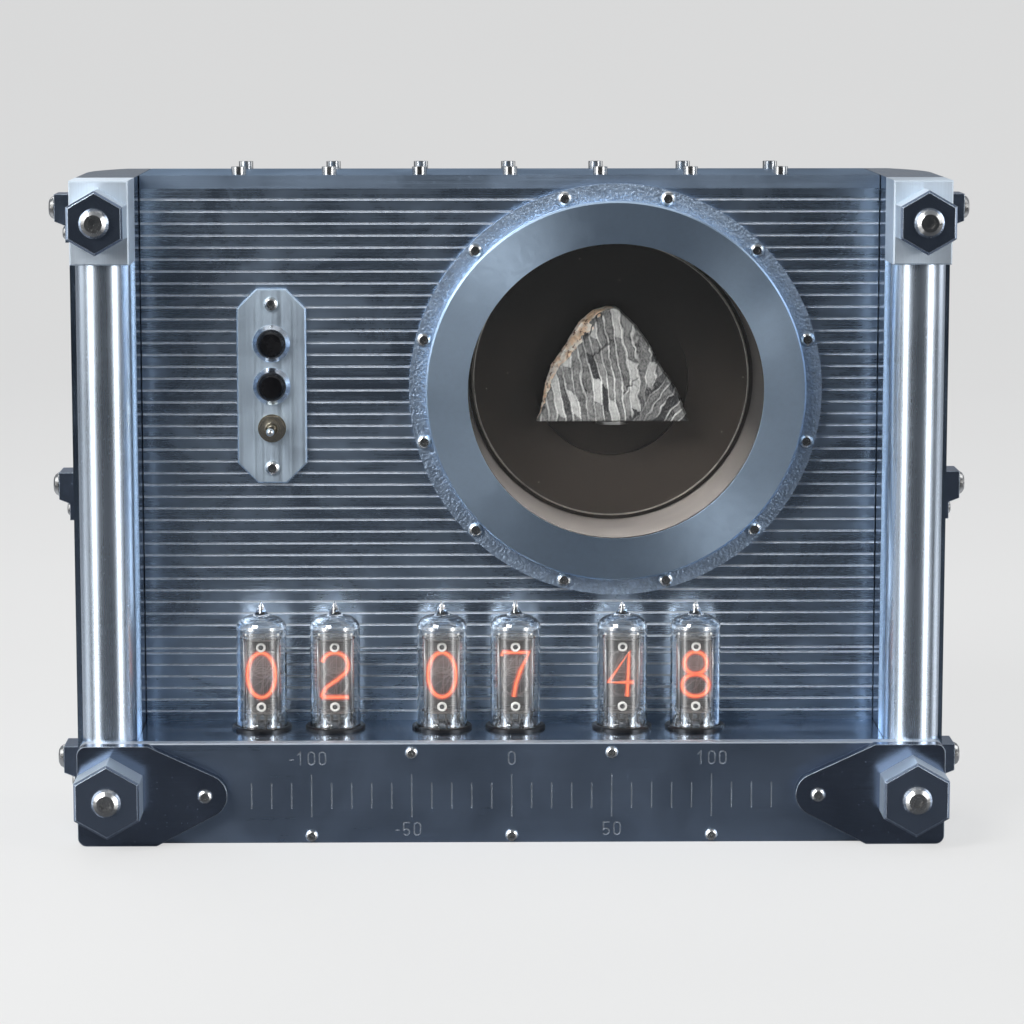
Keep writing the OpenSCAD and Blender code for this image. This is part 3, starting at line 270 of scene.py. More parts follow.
def grooved(name, front_mm, colour):
    """Polished lands with a horizontal grain between bright milled grooves."""
    material, tree, shader = start(name)
    deep = span(tree, axis(tree, 1), front_mm + GROOVE_BEGINS, front_mm + GROOVE_FULL)
    brush = cloud(tree, 1.0, 4.0, PANEL_GRAIN, 0.6)
    smear = cloud(tree, 0.03, 5.0, (1, 1, 1.6), 0.6, 0.8)
    land = mix(tree, span(tree, smear, 0.32, 0.68), rgba(colour, 0.82), rgba(colour, 1.06))
    land = mix(tree, span(tree, brush, 0.4, 0.75, 0.0, 0.14), land, rgba(colour, 0.6))
    cut = cloud(tree, 0.5, 3.0)
    bright = mix(tree, vary(tree, cut), rgba((0.64, 0.69, 0.75)), rgba((0.80, 0.84, 0.89)))
    gloss = vary(tree, brush, 0.23, 0.31)
    gloss = maths(tree, "ADD", gloss, span(tree, smear, 0.35, 0.7, -0.03, 0.08))
    gloss = maths(tree, "MAXIMUM", gloss, maths(tree, "MULTIPLY", deep, CUT_ROUGH))
    put(
        tree, shader, Base_Color=mix(tree, deep, land, bright), Metallic=span(tree, deep, 0, 1, 1.0, 0.55),
        Roughness=gloss, Anisotropic=0.6, Normal=bump(tree, brush, 0.16, 0.01), Tangent=upright(tree),
    )
    return material


def engraved(name, front_mm, colour):
    """Satin plate, brushed from end to end, with paler, duller cuts."""
    material, tree, shader = start(name)
    deep = span(tree, axis(tree, 1), front_mm + MARK_BEGINS, front_mm + MARK_FULL)
    brush = cloud(tree, 1.0, 4.0, ALONG_X, 0.6)
    smear = cloud(tree, 0.03, 4.0, EVEN, 0.55, 0.6)
    tone = mix(tree, vary(tree, smear), rgba(colour, 0.86), rgba(colour, 1.06))
    tone = mix(tree, span(tree, brush, 0.35, 0.75, 0.0, 0.12), tone, rgba(colour, 0.7))
    tone = mix(tree, deep, tone, rgba((0.58, 0.62, 0.67)))
    gloss = vary(tree, brush, 0.28, 0.34)
    gloss = maths(tree, "ADD", gloss, span(tree, smear, 0.35, 0.7, -0.02, 0.04))
    gloss = maths(tree, "MAXIMUM", gloss, maths(tree, "MULTIPLY", deep, CUT_ROUGH))
    put(
        tree, shader, Base_Color=tone, Metallic=1.0, Roughness=gloss, Anisotropic=0.4,
        Normal=bump(tree, brush, 0.3, 0.02), Tangent=upright(tree),
    )
    return material


def hammered(name, colour):
    """Cast ring with a pitted, mottled skin."""
    material, tree, shader = start(name)
    pits = add(
        tree, "TexVoronoi", {"Vector": place(tree), "Scale": 1.0, "Randomness": 1.0}, feature="SMOOTH_F1"
    ).outputs["Distance"]
    grit = cloud(tree, 1.6, 4.0, EVEN, 0.65)
    patch = cloud(tree, 0.5, 3.0)
    height = maths(tree, "ADD", pits, maths(tree, "MULTIPLY", grit, 0.7))
    tone = mix(tree, span(tree, patch, 0.35, 0.65), rgba(colour, 0.88), rgba(colour, 1.08))
    tone = mix(tree, span(tree, grit, 0.55, 0.72, 0.0, 0.6), tone, rgba(colour, 0.45))
    put(
        tree, shader, Base_Color=tone, Metallic=1.0, Roughness=vary(tree, grit, 0.3, 0.5),
        Normal=bump(tree, height, 0.75, 0.28),
    )
    return material


def glass(name, tint, ior, dust, coat=0.0):
    """Clear glass that lets lamp light through, with faint smears on it."""
    material, tree, shader = start(name)
    smear = cloud(tree, 0.12, 4.0, EVEN, 0.6, 0.8)
    put(
        tree, shader, Base_Color=rgba(tint), Transmission_Weight=1.0, IOR=ior,
        Roughness=span(tree, smear, 0.45, 0.8, 0.0, dust),
        Coat_Weight=coat, Coat_IOR=1.7, Coat_Roughness=0.02,
    )
    clear = add(tree, "BsdfTransparent", {"Color": rgba(tint)})
    blend(tree, add(tree, "LightPath").outputs["Is Shadow Ray"], shader, clear)
    return material


def plastic(name, colour, rough, grain=0.35):
    """Moulded plastic or rubber with a fine grain and handling marks."""
    material, tree, shader = start(name)
    skin = cloud(tree, 5.0, 3.0)
    smear = cloud(tree, 0.25, 3.0)
    tone = mix(tree, vary(tree, smear), rgba(colour, 0.75), rgba(colour, 1.3))
    put(
        tree, shader, Base_Color=tone, Roughness=vary(tree, smear, rough - 0.06, rough + 0.1),
        Normal=bump(tree, skin, grain, 0.03),
    )
    return material


def specks(tree, size, share):
    """Separate dots of dust: the middles of some of the cells, about this many mm apart."""
    cells = add(tree, "TexVoronoi", {"Vector": place(tree), "Scale": 1 / size, "Randomness": 1.0})
    pick = add(tree, "SeparateColor", {0: cells.outputs["Color"]})
    dots = span(tree, cells.outputs["Distance"], 0.06, 0.03)
    return maths(tree, "MULTIPLY", dots, span(tree, pick.outputs[0], 1 - share, 1.02 - share))


def painted(name, colour, rough, speck, grain, heights):
    """Matt paint with dust specks, darkened above the first height as painted shade and in its own tone below
    the second.
    """
    material, tree, shader = start(name)
    broad = cloud(tree, 0.05, 4.0, EVEN, 0.6, 0.5)
    skin = cloud(tree, 2.2, 3.0)
    dust = maths(tree, "MULTIPLY", specks(tree, 2.5, 0.3), speck)
    shade_by_height = span(tree, axis(tree, 2), *heights)
    tone = mix(tree, vary(tree, broad), rgba(colour, 0.85), rgba(colour, 1.1))
    tone = mix(tree, span(tree, skin, 0.5, 0.8, 0.0, 0.35), tone, rgba(colour, 1.6))
    # Painted shade: above the first height the paint is darkened to a tenth of its colour
    tone = mix(tree, shade_by_height, rgba(colour, 0.10), tone)
    tone = mix(tree, dust, tone, rgba(DUST))
    put(
        tree, shader, Base_Color=tone, Roughness=vary(tree, broad, rough - 0.08, rough + 0.08),
        Normal=bump(tree, skin, grain, 0.06),
    )
    return material


def backing(name, colour):
    """Dark disc behind the slice, worn to the metal along its rim, with painted shade at its top and in its
    recessed middle and painted light at its bottom.
    """
    material, tree, shader = start(name)
    across = maths(tree, "SUBTRACT", axis(tree, 0), PORTHOLE[0])
    up = maths(tree, "SUBTRACT", axis(tree, 2), PORTHOLE[2])
    squares = maths(tree, "ADD", maths(tree, "POWER", across, 2.0), maths(tree, "POWER", up, 2.0))
    radius = maths(tree, "SQRT", squares)
    broad = cloud(tree, 0.05, 4.0, EVEN, 0.6, 0.5)
    worn = maths(tree, "MULTIPLY", span(tree, radius, *RIM_IN), span(tree, radius, *RIM_OUT))
    worn = maths(tree, "MULTIPLY", worn, span(tree, cloud(tree, 0.12, 3.0), 0.3, 0.5, 0.45, 1.0))
    # Painted shade and painted light: darker towards the top, under the bezel, and paler towards the bottom;
    # only the specks are dust
    shade_by_height = span(tree, axis(tree, 2), *DISC_SHADE_HEIGHTS)
    dust = maths(tree, "ADD", shade_by_height, vary(tree, broad, -0.06, 0.06))
    tone = mix(tree, dust, rgba(colour, 0.12), rgba(colour, 2.4))
    tone = mix(tree, specks(tree, 4.0, 0.35), tone, rgba(DISC_DUST))
    # Painted shade: the recessed middle of the disc is darkened
    tone = mix(tree, span(tree, radius, *RECESS_SHADE, 0.0, 0.35), tone, rgba(colour, 0.5))
    tone = mix(tree, worn, tone, rgba(DISC_METAL))
    put(
        tree, shader, Base_Color=tone, Metallic=worn, Roughness=vary(tree, broad, 0.36, 0.42),
        Specular_IOR_Level=0.15,
    )
    return material


def circuit(name):
    """Green board with a copper pattern under the lacquer."""
    material, tree, shader = start(name)
    tracks = add(
        tree, "TexBrick", {
            "Vector": place(tree), "Scale": 0.18, "Mortar Size": 0.05, "Color1": rgba((0.012, 0.09, 0.035)),
            "Color2": rgba((0.016, 0.11, 0.045)), "Mortar": rgba((0.05, 0.19, 0.07)),
        },
    ).outputs[0]
    put(tree, shader, Base_Color=tracks, Roughness=vary(tree, cloud(tree, 0.8), 0.3, 0.5))
    return material


def glowing(name, colour, strength, opaque):
    """Neon glow: brightest in patches, and thin enough to see through where it isn't opaque."""
    material, tree, shader = start(name)
    flicker = cloud(tree, 0.45, 2.0)
    tone = mix(tree, vary(tree, flicker), rgba(colour, 0.8), rgba(colour, 1.0))
    put(
        tree, shader, Base_Color=rgba(colour, 0.3), Roughness=0.6, Emission_Color=tone,
        Emission_Strength=strength, Alpha=opaque,
    )
    return material


# The looks by name, and the CAD nodes that wear each

ALUMINIUM = (0.44, 0.56, 0.72)
STEEL = (0.36, 0.44, 0.58)
looks = {
    "satin": metal("satin_aluminium", ALUMINIUM, (0.24, 0.38), ALONG_X, stain=0.08),
    # Painted shade: the top plate wears a darker copy of the satin aluminium
    "top": dull_aslant(
        metal("shaded_satin_aluminium_top", (0.27, 0.345, 0.45), (0.40, 0.52), ALONG_X, stain=0.08),
        (0.22, 0.26, 0.31),
    ),
    "upright": metal("satin_aluminium_upright", ALUMINIUM, (0.11, 0.19), ALONG_Z, depth=0.008, stain=0.08),
    "polished": metal(
        "polished_aluminium", (0.78, 0.87, 0.96), (0.45, 0.51), ALONG_Z, depth=0.01, stain=0.06,
    ),
    "control": metal("control_aluminium", (0.72, 0.85, 0.99), (0.36, 0.54), ALONG_Z, 0.2, 0.012, 0.08),
    "shelf": metal("polished_shelf", (0.44, 0.55, 0.70), (0.12, 0.22), ALONG_X, depth=0.01, stain=0.08),
    "column": metal(
        "polished_column", (0.72, 0.82, 0.94), (0.25, 0.3), ALONG_Z, depth=0.004, stain=0.03, marks=0.2,
    ),
    "panel": grooved("grooved_aluminium", PANEL_FRONT, (0.48, 0.60, 0.76)),
    "scale": engraved("engraved_aluminium", SCALE_FRONT, (0.37, 0.47, 0.63)),
    # The last tone given to the hex is painted light on its side faces
    "hex": edged(
        metal("dark_steel", STEEL, (0.2, 0.24), EVEN, 0.3, 0.002, 0.04, marks=0.2), 0.35, (0.66, 0.75, 0.84),
    ),
    "clamp": edged(metal("clamp_steel", STEEL, (0.2, 0.26), EVEN, 0.4, 0.002, 0.05, marks=0.3), 0.35),
    "gusset": edged(
        metal("polished_gusset", (0.25, 0.305, 0.41), (0.12, 0.2), ALONG_X, depth=0.006, stain=0.14), 0.5,
    ),
    "screw": metal("screw_steel", (0.66, 0.66, 0.65), (0.14, 0.26), EVEN, 2.0, 0.01),
    "pin": metal("bracket_steel", (0.24, 0.235, 0.23), (0.3, 0.42), EVEN, 2.0, 0.01),
    "flange": hammered("hammered_aluminium", (0.48, 0.60, 0.77)),
    "bezel": metal(
        "turned_aluminium", (0.62, 0.79, 0.99), (0.32, 0.36), EVEN, 0.5, 0.002, 0.03, marks=0.25, lathe=0.8,
    ),
    "window": glass("window_glass", (0.97, 0.98, 0.985), 1.3, 0.0),
    "tube": glass("tube_glass", (0.985, 0.99, 0.99), 1.52, 0.02, 1.0),
    "rubber": plastic("gasket_rubber", (0.02, 0.02, 0.02), 0.7),
    "barrel": painted("barrel_paint", (0.39, 0.345, 0.315), 0.75, 0.5, 0.6, BARREL_SHADE_HEIGHTS),
    "disc": backing("disc_paint", (0.020, 0.016, 0.013)),
    "brass": metal("plated_brass", (0.86, 0.80, 0.68), (0.2, 0.26), EVEN, 0.4, 0.002, 0.05, marks=0.3),
    "bush": metal("button_bush", (0.78, 0.84, 0.92), (0.16, 0.22), EVEN, 0.5, 0.002, 0.05, marks=0.3),
    "post": metal("post_brass", (0.78, 0.58, 0.28), (0.2, 0.32), EVEN, 1.5, 0.01),
    "chrome": metal("lever_chrome", (0.80, 0.80, 0.79), (0.05, 0.12), EVEN, 1.5, 0.006),
    "button": plastic("button_plastic", (0.006, 0.006, 0.007), 0.22, 0.1),
    "ring": plastic("ring_plastic", (0.008, 0.008, 0.009), 0.3, 0.2),
    "jack": plastic("jack_plastic", (0.012, 0.012, 0.013), 0.42),
    "board": circuit("board"),
}

wear = {
    "scale": ["scale_plate"],
    "satin": ["bottom_plate", "rear_plate"],
    "top": ["top_plate"],
    "upright": ["side_trim_left", "side_trim_right", "side_wall_left", "side_wall_right"],
    "shelf": ["shelf_plate"],
    "polished": ["corner_block_left", "corner_block_right"],
    "control": ["control_plate"],
    "column": ["column_left", "column_right"],
    "gusset": ["gusset_left", "gusset_right"],
    "panel": ["front_panel", "lower_panel"],
    "hex": ["corner_hexes"],
    "clamp": ["side_clamps"],
    "screw": [
        "corner_screws", "top_screws", "scale_screws", "frame_screws", "flat_screws", "clamp_screws",
        "m3_screws", "flange_screws",
    ],
    "pin": ["meteorite_pin"],
    "flange": ["porthole_flange"],
    "bezel": ["porthole_bezel"],
    "window": ["porthole_glass"],
    "rubber": ["glass_gasket"],
    "barrel": ["porthole_barrel"],
    "disc": ["back_disc"],
    "brass": ["toggle_body", "toggle_nut"],
    "bush": ["button_bodies", "button_nuts"],
    "chrome": ["toggle_lever"],
    "button": ["upper_button", "lower_button"],
    "ring": ["tube_rings"],
    "jack": ["power_jack"],
    "board": ["tube_board", "main_board"],
    "post": ["board_posts"],
    "tube": ["tube_%d_glass" % n for n in TUBES],
}
for look, names in wear.items():
    for name in names:
        slots = nodes[name].data.materials
        slots.clear()
        slots.append(looks[look])


# Mesh helpers, in millimetres until the object is made

STEEP = 0.9


def finish_piece(name, bm, materials, replaced):
    """Makes a piece of the case from a mesh, in the place of a CAD node."""
    bmesh.ops.recalc_face_normals(bm, faces=bm.faces)
    for face in bm.faces:
        face.smooth = True
    bmesh.ops.scale(bm, vec=(MM, MM, MM), verts=bm.verts)
    mesh = bpy.data.meshes.new(name)
    bm.to_mesh(mesh)
    bm.free()
    for material in materials:
        mesh.materials.append(material)
    piece = bpy.data.objects.new(name, mesh)
    scene.collection.objects.link(piece)
    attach(piece, "case")
    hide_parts(replaced)


def wire(bm, points, radius, sides, material, closed=False):
    """A round wire swept along points."""
    points = [Vector(p) for p in points]
    count = len(points)
    rings = []
    up = None
    for i, point in enumerate(points):
        before = points[i - 1] if (i or closed) else point
        after = points[(i + 1) % count] if (i < count - 1 or closed) else point
        along = (after - before).normalized()
        if up is None:
            up = Vector((0, 1, 0)) if abs(along.y) < STEEP else Vector((1, 0, 0))
        across = along.cross(up).normalized()
        up = across.cross(along).normalized()
        rings.append([
            bm.verts.new(point + radius * (math.cos(a) * across + math.sin(a) * up))
            for a in (2 * math.pi * k / sides for k in range(sides))
        ])
    steps = count if closed else count - 1
    for i in range(steps):
        one, two = rings[i], rings[(i + 1) % count]
        for k in range(sides):
            face = bm.faces.new((one[k], one[(k + 1) % sides], two[(k + 1) % sides], two[k]))
            face.material_index = material
    if not closed:
        for ring in (rings[0], rings[-1]):
            bm.faces.new(ring).material_index = material


def turned(bm, centre, profile, sides, material, to_front=False, closed=False):
    """A solid of revolution about Z, or about -Y to the front: profile is (radius, height) pairs."""
    rings = []
    for radius, height in profile:
        ring = []
        for k in range(sides):
            a = 2 * math.pi * k / sides
            x, y = radius * math.cos(a), radius * math.sin(a)
            spot = Vector((x, -height, y)) if to_front else Vector((x, y, height))
            ring.append(bm.verts.new(Vector(centre) + spot))
        rings.append(ring)
    pairs = list(zip(rings, rings[1:]))
    if closed:
        pairs.append((rings[-1], rings[0]))
    for one, two in pairs:
        for k in range(sides):
            face = bm.faces.new((one[k], one[(k + 1) % sides], two[(k + 1) % sides], two[k]))
            face.material_index = material
    if not closed:
        for ring in (rings[0], rings[-1]):
            bm.faces.new(ring).material_index = material


def sheet(bm, rows, thick, material):
    """A thin bent plate: rows of points, each with the way in which it is thickened."""
    front = [[bm.verts.new(p) for p, _ in row] for row in rows]
    rear = [[bm.verts.new(Vector(p) + Vector(n) * thick) for p, n in row] for row in rows]
    h, w = len(rows), len(rows[0])
    faces = []
    for i in range(h - 1):
        for j in range(w - 1):
            faces.append((front[i][j], front[i][j + 1], front[i + 1][j + 1], front[i + 1][j]))
            faces.append((rear[i][j], rear[i + 1][j], rear[i + 1][j + 1], rear[i][j + 1]))
    for i in range(h - 1):
        for j in (0, w - 1):
            faces.append((front[i][j], front[i + 1][j], rear[i + 1][j], rear[i][j]))
    for j in range(w - 1):
        for i in (0, h - 1):
            faces.append((front[i][j], rear[i][j], rear[i][j + 1], front[i][j + 1]))
    for corners in faces:
        bm.faces.new(corners).material_index = material


# Glow tubes

def arc(cx, cy, rx, ry, begin, end, count):
    """Points along an ellipse, from one angle to another in degrees."""
    angles = [math.radians(begin + (end - begin) * k / count) for k in range(count + 1)]
    return [(cx + rx * math.cos(a), cy + ry * math.sin(a)) for a in angles]


# Strokes of the digits 0 to 9 in a box from -0.5 to 0.5 each way; one that ends where it starts is a loop
STROKES = (
    [arc(0, 0, 0.5, 0.5, 90, 450, 40)],
    [[(-0.2, 0.3), (0.05, 0.5), (0.05, -0.5)]],
    [
        arc(0, 0.22, 0.47, 0.28, 165, -40, 22) + [(0.1, -0.1), (-0.28, -0.26)]
        + arc(-0.05, -0.5, 0.43, 0.22, 150, 180, 4) + [(0.5, -0.5)],
    ],
    [arc(0, 0.24, 0.42, 0.26, 160, -90, 20) + arc(0, -0.24, 0.48, 0.26, 90, -160, 20)],
    [[(0.42, -0.18), (-0.5, -0.18), (0.24, 0.5), (0.18, -0.5)]],
    [[(0.42, 0.5), (-0.36, 0.5), (-0.42, 0.06)] + arc(-0.02, -0.18, 0.48, 0.32, 140, -150, 24)],
    [[(0.3, 0.5), (-0.1, 0.3), (-0.4, -0.02)] + arc(0, -0.2, 0.46, 0.3, 150, 510, 32)],
    [[(-0.48, 0.42), (-0.46, 0.5), (0.5, 0.5), (0.2, 0.12), (0.02, -0.2), (-0.06, -0.5)]],
    [arc(0, 0.25, 0.4, 0.25, -90, 270, 30), arc(0, -0.25, 0.48, 0.25, 90, 450, 32)],
    [arc(0, 0.2, 0.46, 0.3, -30, 330, 32) + [(0.4, 0.02), (0.1, -0.3), (-0.3, -0.5)]],
)

WORKS_LOOKS = (
    metal("nickel_wire", (0.42, 0.41, 0.41), (0.25, 0.4), EVEN, 3.0, 0.01),
    glowing("glow_core", (1.0, 0.46, 0.17), 2.4, 1.0),
    glowing("glow_halo", (1.0, 0.105, 0.012), 1.2, 0.6),
    metal("anode_sheet", (0.22, 0.21, 0.21), (0.3, 0.45), ALONG_Z, depth=0.01),
    plastic("mica", (0.05, 0.048, 0.046), 0.25, 0.15),
    plastic("eyelet_ceramic", (0.75, 0.74, 0.71), 0.35, 0.1),
    looks["tube"],
    glowing("glow_haze", (1.0, 0.08, 0.012), 1.0, 0.18),
    plastic("lead_sleeve", (0.03, 0.03, 0.032), 0.4, 0.2),
)
NICKEL, CORE, HALO, SHADE, MICA, CERAMIC, GLASS, HAZE, SLEEVE = range(len(WORKS_LOOKS))

# The digits shown, from left to right, and the order in which all ten stand in a tube, from front to rear
SHOWN = (0, 2, 0, 7, 4, 8)
STACK = (1, 6, 2, 7, 5, 0, 4, 9, 8, 3)

# Sizes inside a tube in mm: heights are above the ground, depths from the tube's middle to the rear
DIGIT_WIDE, DIGIT_HIGH, DIGIT_Z = 10.4, 17.0, 58.2
LIT_Y, FIRST_UNLIT_Y, UNLIT_STEP = -2.6, -2.1, 0.48
THIN_SIDES, WIRE_SIDES, PLUG_SIDES, EYELET_SIDES, DISC_SIDES = 4, 8, 16, 24, 40
GLOW = ((0.32, WIRE_SIDES, CORE), (0.7, WIRE_SIDES, HALO), (1.2, WIRE_SIDES, HAZE))
UNLIT = ((0.11, THIN_SIDES, NICKEL),)
JOINED = 1e-6

MICA_LOW, MICA_HIGH, MICA_R, MICA_THICK, MICA_EDGE = 44.0, 71.9, 7.6, 0.5, 0.1
MICA_PROFILE = (
    (MICA_R - MICA_EDGE, 0), (MICA_R, MICA_EDGE),
    (MICA_R, MICA_THICK - MICA_EDGE), (MICA_R - MICA_EDGE, MICA_THICK),
)
WALL_R, WALL_THICK, WALL_BACK, WALL_STEPS = 7.0, 0.25, 0.3, 24
WALL_BEGIN, WALL_TURN = -18, 216
WALL_LOW, WALL_HIGH = MICA_LOW + 0.4, MICA_HIGH - 0.1
MESH_Y, MESH_R, MESH_PITCH, MESH_HALF = -3.9, 0.045, 0.82, 6
MESH_SIDE_WIRES, MESH_RUNGS, FIRST_RUNG = 7, 33, MICA_LOW + 1
ROD_X, ROD_LOW, ROD_HIGH = 6.2, MICA_LOW - 1.5, MICA_HIGH + 1.2
RODS = ((MESH_Y, 0.32, NICKEL), (2.6, 0.4, CERAMIC))
EYELETS = (46.3, 69.0)
EYELET_Y = MESH_Y - 0.1
EYELET_PROFILE = ((0.95, 0), (1.6, 0), (1.8, 0.2), (1.8, 0.55), (1.6, 0.8), (1.05, 0.8), (0.95, 0.6))
PLUG_PROFILE = ((0.95, 0), (0.95, 0.3), (0.5, 0.42))
LEADS, LEAD_R = 12, 0.4
LEAD_PATH = ((6, 19.0), (6, 42.0), (5.2, MICA_LOW + MICA_EDGE))
STEM_PROFILE = ((6.8, 37.6), (8.3, 37.9), (8.45, 38.6), (8.3, 40.2), (7.2, 40.9), (5.2, 41.2))


def numerals(bm, centre, shown):
    """Ten digits one behind another: the shown one glows in front, and the others are thin wires."""
    unlit_y = FIRST_UNLIT_Y
    for digit in STACK:
        y, layers = (LIT_Y, GLOW) if digit == shown else (unlit_y, UNLIT)
        for stroke in STROKES[digit]:
            loop = math.dist(stroke[0], stroke[-1]) < JOINED
            path = stroke[:-1] if loop else stroke
            points = [centre + Vector((u * DIGIT_WIDE, y, DIGIT_Z + v * DIGIT_HIGH)) for u, v in path]
            for radius, sides, look in layers:
                wire(bm, points, radius, sides, look, loop)
        unlit_y += UNLIT_STEP


def anode(bm, centre):
    """A half-round wall behind the digits, a fine mesh before them and two rods at each side."""
    rows = []
    for z in (WALL_LOW, WALL_HIGH):
        row = []
        for k in range(WALL_STEPS + 1):
            a = math.radians(WALL_BEGIN + WALL_TURN * k / WALL_STEPS)
            out = Vector((math.cos(a), math.sin(a), 0))
            row.append((centre + WALL_R * out + Vector((0, WALL_BACK, z)), -out))
        rows.append(row)
    sheet(bm, rows, WALL_THICK, SHADE)
    for k in range(-MESH_SIDE_WIRES, MESH_SIDE_WIRES + 1):
        ends = [centre + Vector((k * MESH_PITCH, MESH_Y, z)) for z in (WALL_LOW, MICA_HIGH)]
        wire(bm, ends, MESH_R, THIN_SIDES, NICKEL)
    for k in range(MESH_RUNGS):
        z = FIRST_RUNG + k * MESH_PITCH
        ends = [centre + Vector((x, MESH_Y, z)) for x in (-MESH_HALF, MESH_HALF)]
        wire(bm, ends, MESH_R, THIN_SIDES, NICKEL)
    for side in (-1, 1):
        for y, radius, look in RODS:
            ends = [centre + Vector((side * ROD_X, y, z)) for z in (ROD_LOW, ROD_HIGH)]
            wire(bm, ends, radius, WIRE_SIDES, look)


def mounts(bm, centre):
    """The two mica discs that hold the works, and a plugged ceramic eyelet near each."""
    for z in (MICA_LOW, MICA_HIGH):
        turned(bm, centre + Vector((0, 0, z)), MICA_PROFILE, DISC_SIDES, MICA)
    for z in EYELETS:
        spot = centre + Vector((0, EYELET_Y, z))
        turned(bm, spot, EYELET_PROFILE, EYELET_SIDES, CERAMIC, to_front=True, closed=True)
        turned(bm, spot, PLUG_PROFILE, PLUG_SIDES, SLEEVE, to_front=True)


def leads(bm, centre):
    """Sleeved leads from below the shelf to the lower mica disc, and the glass stem around them."""
    for k in range(LEADS):
        a = 2 * math.pi * (k + 0.5) / LEADS
        points = [centre + Vector((r * math.cos(a), r * math.sin(a), z)) for r, z in LEAD_PATH]
        wire(bm, points, LEAD_R, WIRE_SIDES, SLEEVE)
    turned(bm, centre, STEM_PROFILE, DISC_SIDES, GLASS)


def works(number, digit):
    """What stands inside one tube, in the place of its electrode node."""
    x, y, _ = middle("tube_%d_glass" % number)
    centre = Vector((x, y, 0))
    bm = bmesh.new()
    numerals(bm, centre, digit)
    anode(bm, centre)
    mounts(bm, centre)
    leads(bm, centre)
    finish_piece(
        "tube_%d_works" % number, bm, WORKS_LOOKS, "tube_%d_electrodes" % number,
    )


for number, digit in zip(TUBES, SHOWN):
    works(number, digit)


# Meteorite slice, in millimetres; x is from its middle and z from its foot

(SLICE_LEFT, SLICE_FRONT, SLICE_FOOT), (SLICE_RIGHT, SLICE_REAR, SLICE_TOP) = box_mm("meteorite")
SLICE_X, SLICE_HALF = (SLICE_LEFT + SLICE_RIGHT) / 2, (SLICE_RIGHT - SLICE_LEFT) / 2
SLICE_HIGH, SLICE_THICK = SLICE_TOP - SLICE_FOOT, SLICE_REAR - SLICE_FRONT
SLICE_ROWS, SLICE_COLUMNS = 150, 200
STRAIGHT_ROWS = 4
FACE_DEPTH, DEEPEST_DIP = 0.75, 4.6
RIM_TONE = 0.25
PLATE_LONG = 9.5
MAIN_PERIOD, CROSS_PERIOD = 3.1, 3.0
CRACK_NONE = 9.0

# Outlines as (share of the height, share of the half width)
LEFT_EDGE = (
    (0, -1), (0.1, -0.945), (0.33, -0.885), (0.5, -0.8), (0.645, -0.64), (0.86, -0.45), (0.968, -0.26),
    (1.0, -0.09),
)
RIGHT_EDGE = (
    (0, 1), (0.03, 0.985), (0.27, 0.85), (0.49, 0.62), (0.69, 0.465), (0.83, 0.31), (0.968, 0.1), (1.0, 0.03),
)
EDGES = ((LEFT_EDGE, 7.0), (RIGHT_EDGE, 17.0))

# Width of the crust as (height, width), and cracks as lines of (x, z)
CRUST_WIDTH = ((0, 0.0), (5, 0.3), (10, 1.4), (18, 2.5), (26, 4.6), (35, 6.4), (41, 5.0), (44, 3.0))
CRACKS = (
    ((-7.5, 24.5), (-5.0, 27.6), (-2.6, 29.0), (-0.6, 31.0)),
    ((4.0, 10.5), (6.2, 13.4), (9.6, 17.2)),
    ((-4.2, 41.4), (-6.5, 40.2), (-8.1, 37.9), (-9.0, 34.6), (-11.5, 30.8)),
)


def table(pairs, value):
    """A value read off straight lines through pairs."""
    for (a, b), (c, d) in zip(pairs, pairs[1:]):
        if value <= c:
            return b + (d - b) * (value - a) / (c - a)
    return pairs[-1][1]


def smooth_step(low, high, value):
    """0 below one value and 1 above another, with a soft rise between them."""
    t = min(1.0, max(0.0, (value - low) / (high - low)))
    return t * t * (3 - 2 * t)


def beside(distance, reach):
    """1 at an edge, falling to 0 at the reach from it."""
    return 1 - smooth_step(0.0, reach, distance)


def chance(index, seed):
    """A fixed share from 0 to 1 for a plate."""
    return 0.5 + 0.5 * noise.noise((index * 3.71 + 0.37, seed * 5.13 + 0.61, 0.29))


def lamella(s, t, period, seed):
    """Tone and height of one family of plates: s runs across them and t along them."""
    index = math.floor(s / period)
    inside = s / period - index
    split = (t + 0.6 * (inside - 0.5) * period) / PLATE_LONG + 3.0 * chance(index, seed + 3)
    split += 0.12 * noise.noise((s * 0.6, t * 0.5, seed + 13))
    piece = math.floor(split)
    near = min(split - piece, piece + 1 - split) * PLATE_LONG
    kind = chance(index * 1.7 + piece * 2.9, seed)
    fill = 0.20 + 0.55 * (kind - 0.5)
    if kind > 0.68:
        fill += 0.26
    if kind < 0.36:
        fill -= 0.10
    fill += 0.12 * noise.noise((s * 0.5, t * 0.3, seed + 7))
    fill += 0.07 * noise.noise((s * 1.4, t * 0.9, seed + 9))
    fade = 0.45 + 0.9 * noise.noise((index * 2.3, t * 0.16, seed + 5))
    edge = min(inside, 1 - inside) * period
    rim = (1 - smooth_step(0.16, 0.42, edge)) * min(1.0, max(0.1, fade))
    gap = (1 - smooth_step(0.1, 0.4, near)) * smooth_step(0.3, 0.7, kind)
    fill -= 0.13 * beside(abs(edge - 0.6), 0.25)
    return fill + 0.75 * rim - 0.12 * gap, 0.5 * fill + 0.34 * rim - 0.15 * gap


def crack_depth(x, z):
    """How deep a crack is at a point, with lines that waver."""
    nearest = CRACK_NONE
    sway = [1.2 * noise.noise((x * 0.5, z * 0.5, seed)) for seed in (3.0, 6.0)]
    here = Vector((x + sway[0], z + sway[1]))
    for line in CRACKS:
        for a, b in zip(line, line[1:]):
            a, b = Vector(a), Vector(b)
            t = min(1.0, max(0.0, (here - a).dot(b - a) / (b - a).length_squared))
            nearest = min(nearest, (here - a - t * (b - a)).length)
    return 0.8 * (1 - smooth_step(0.1, 0.55, nearest))


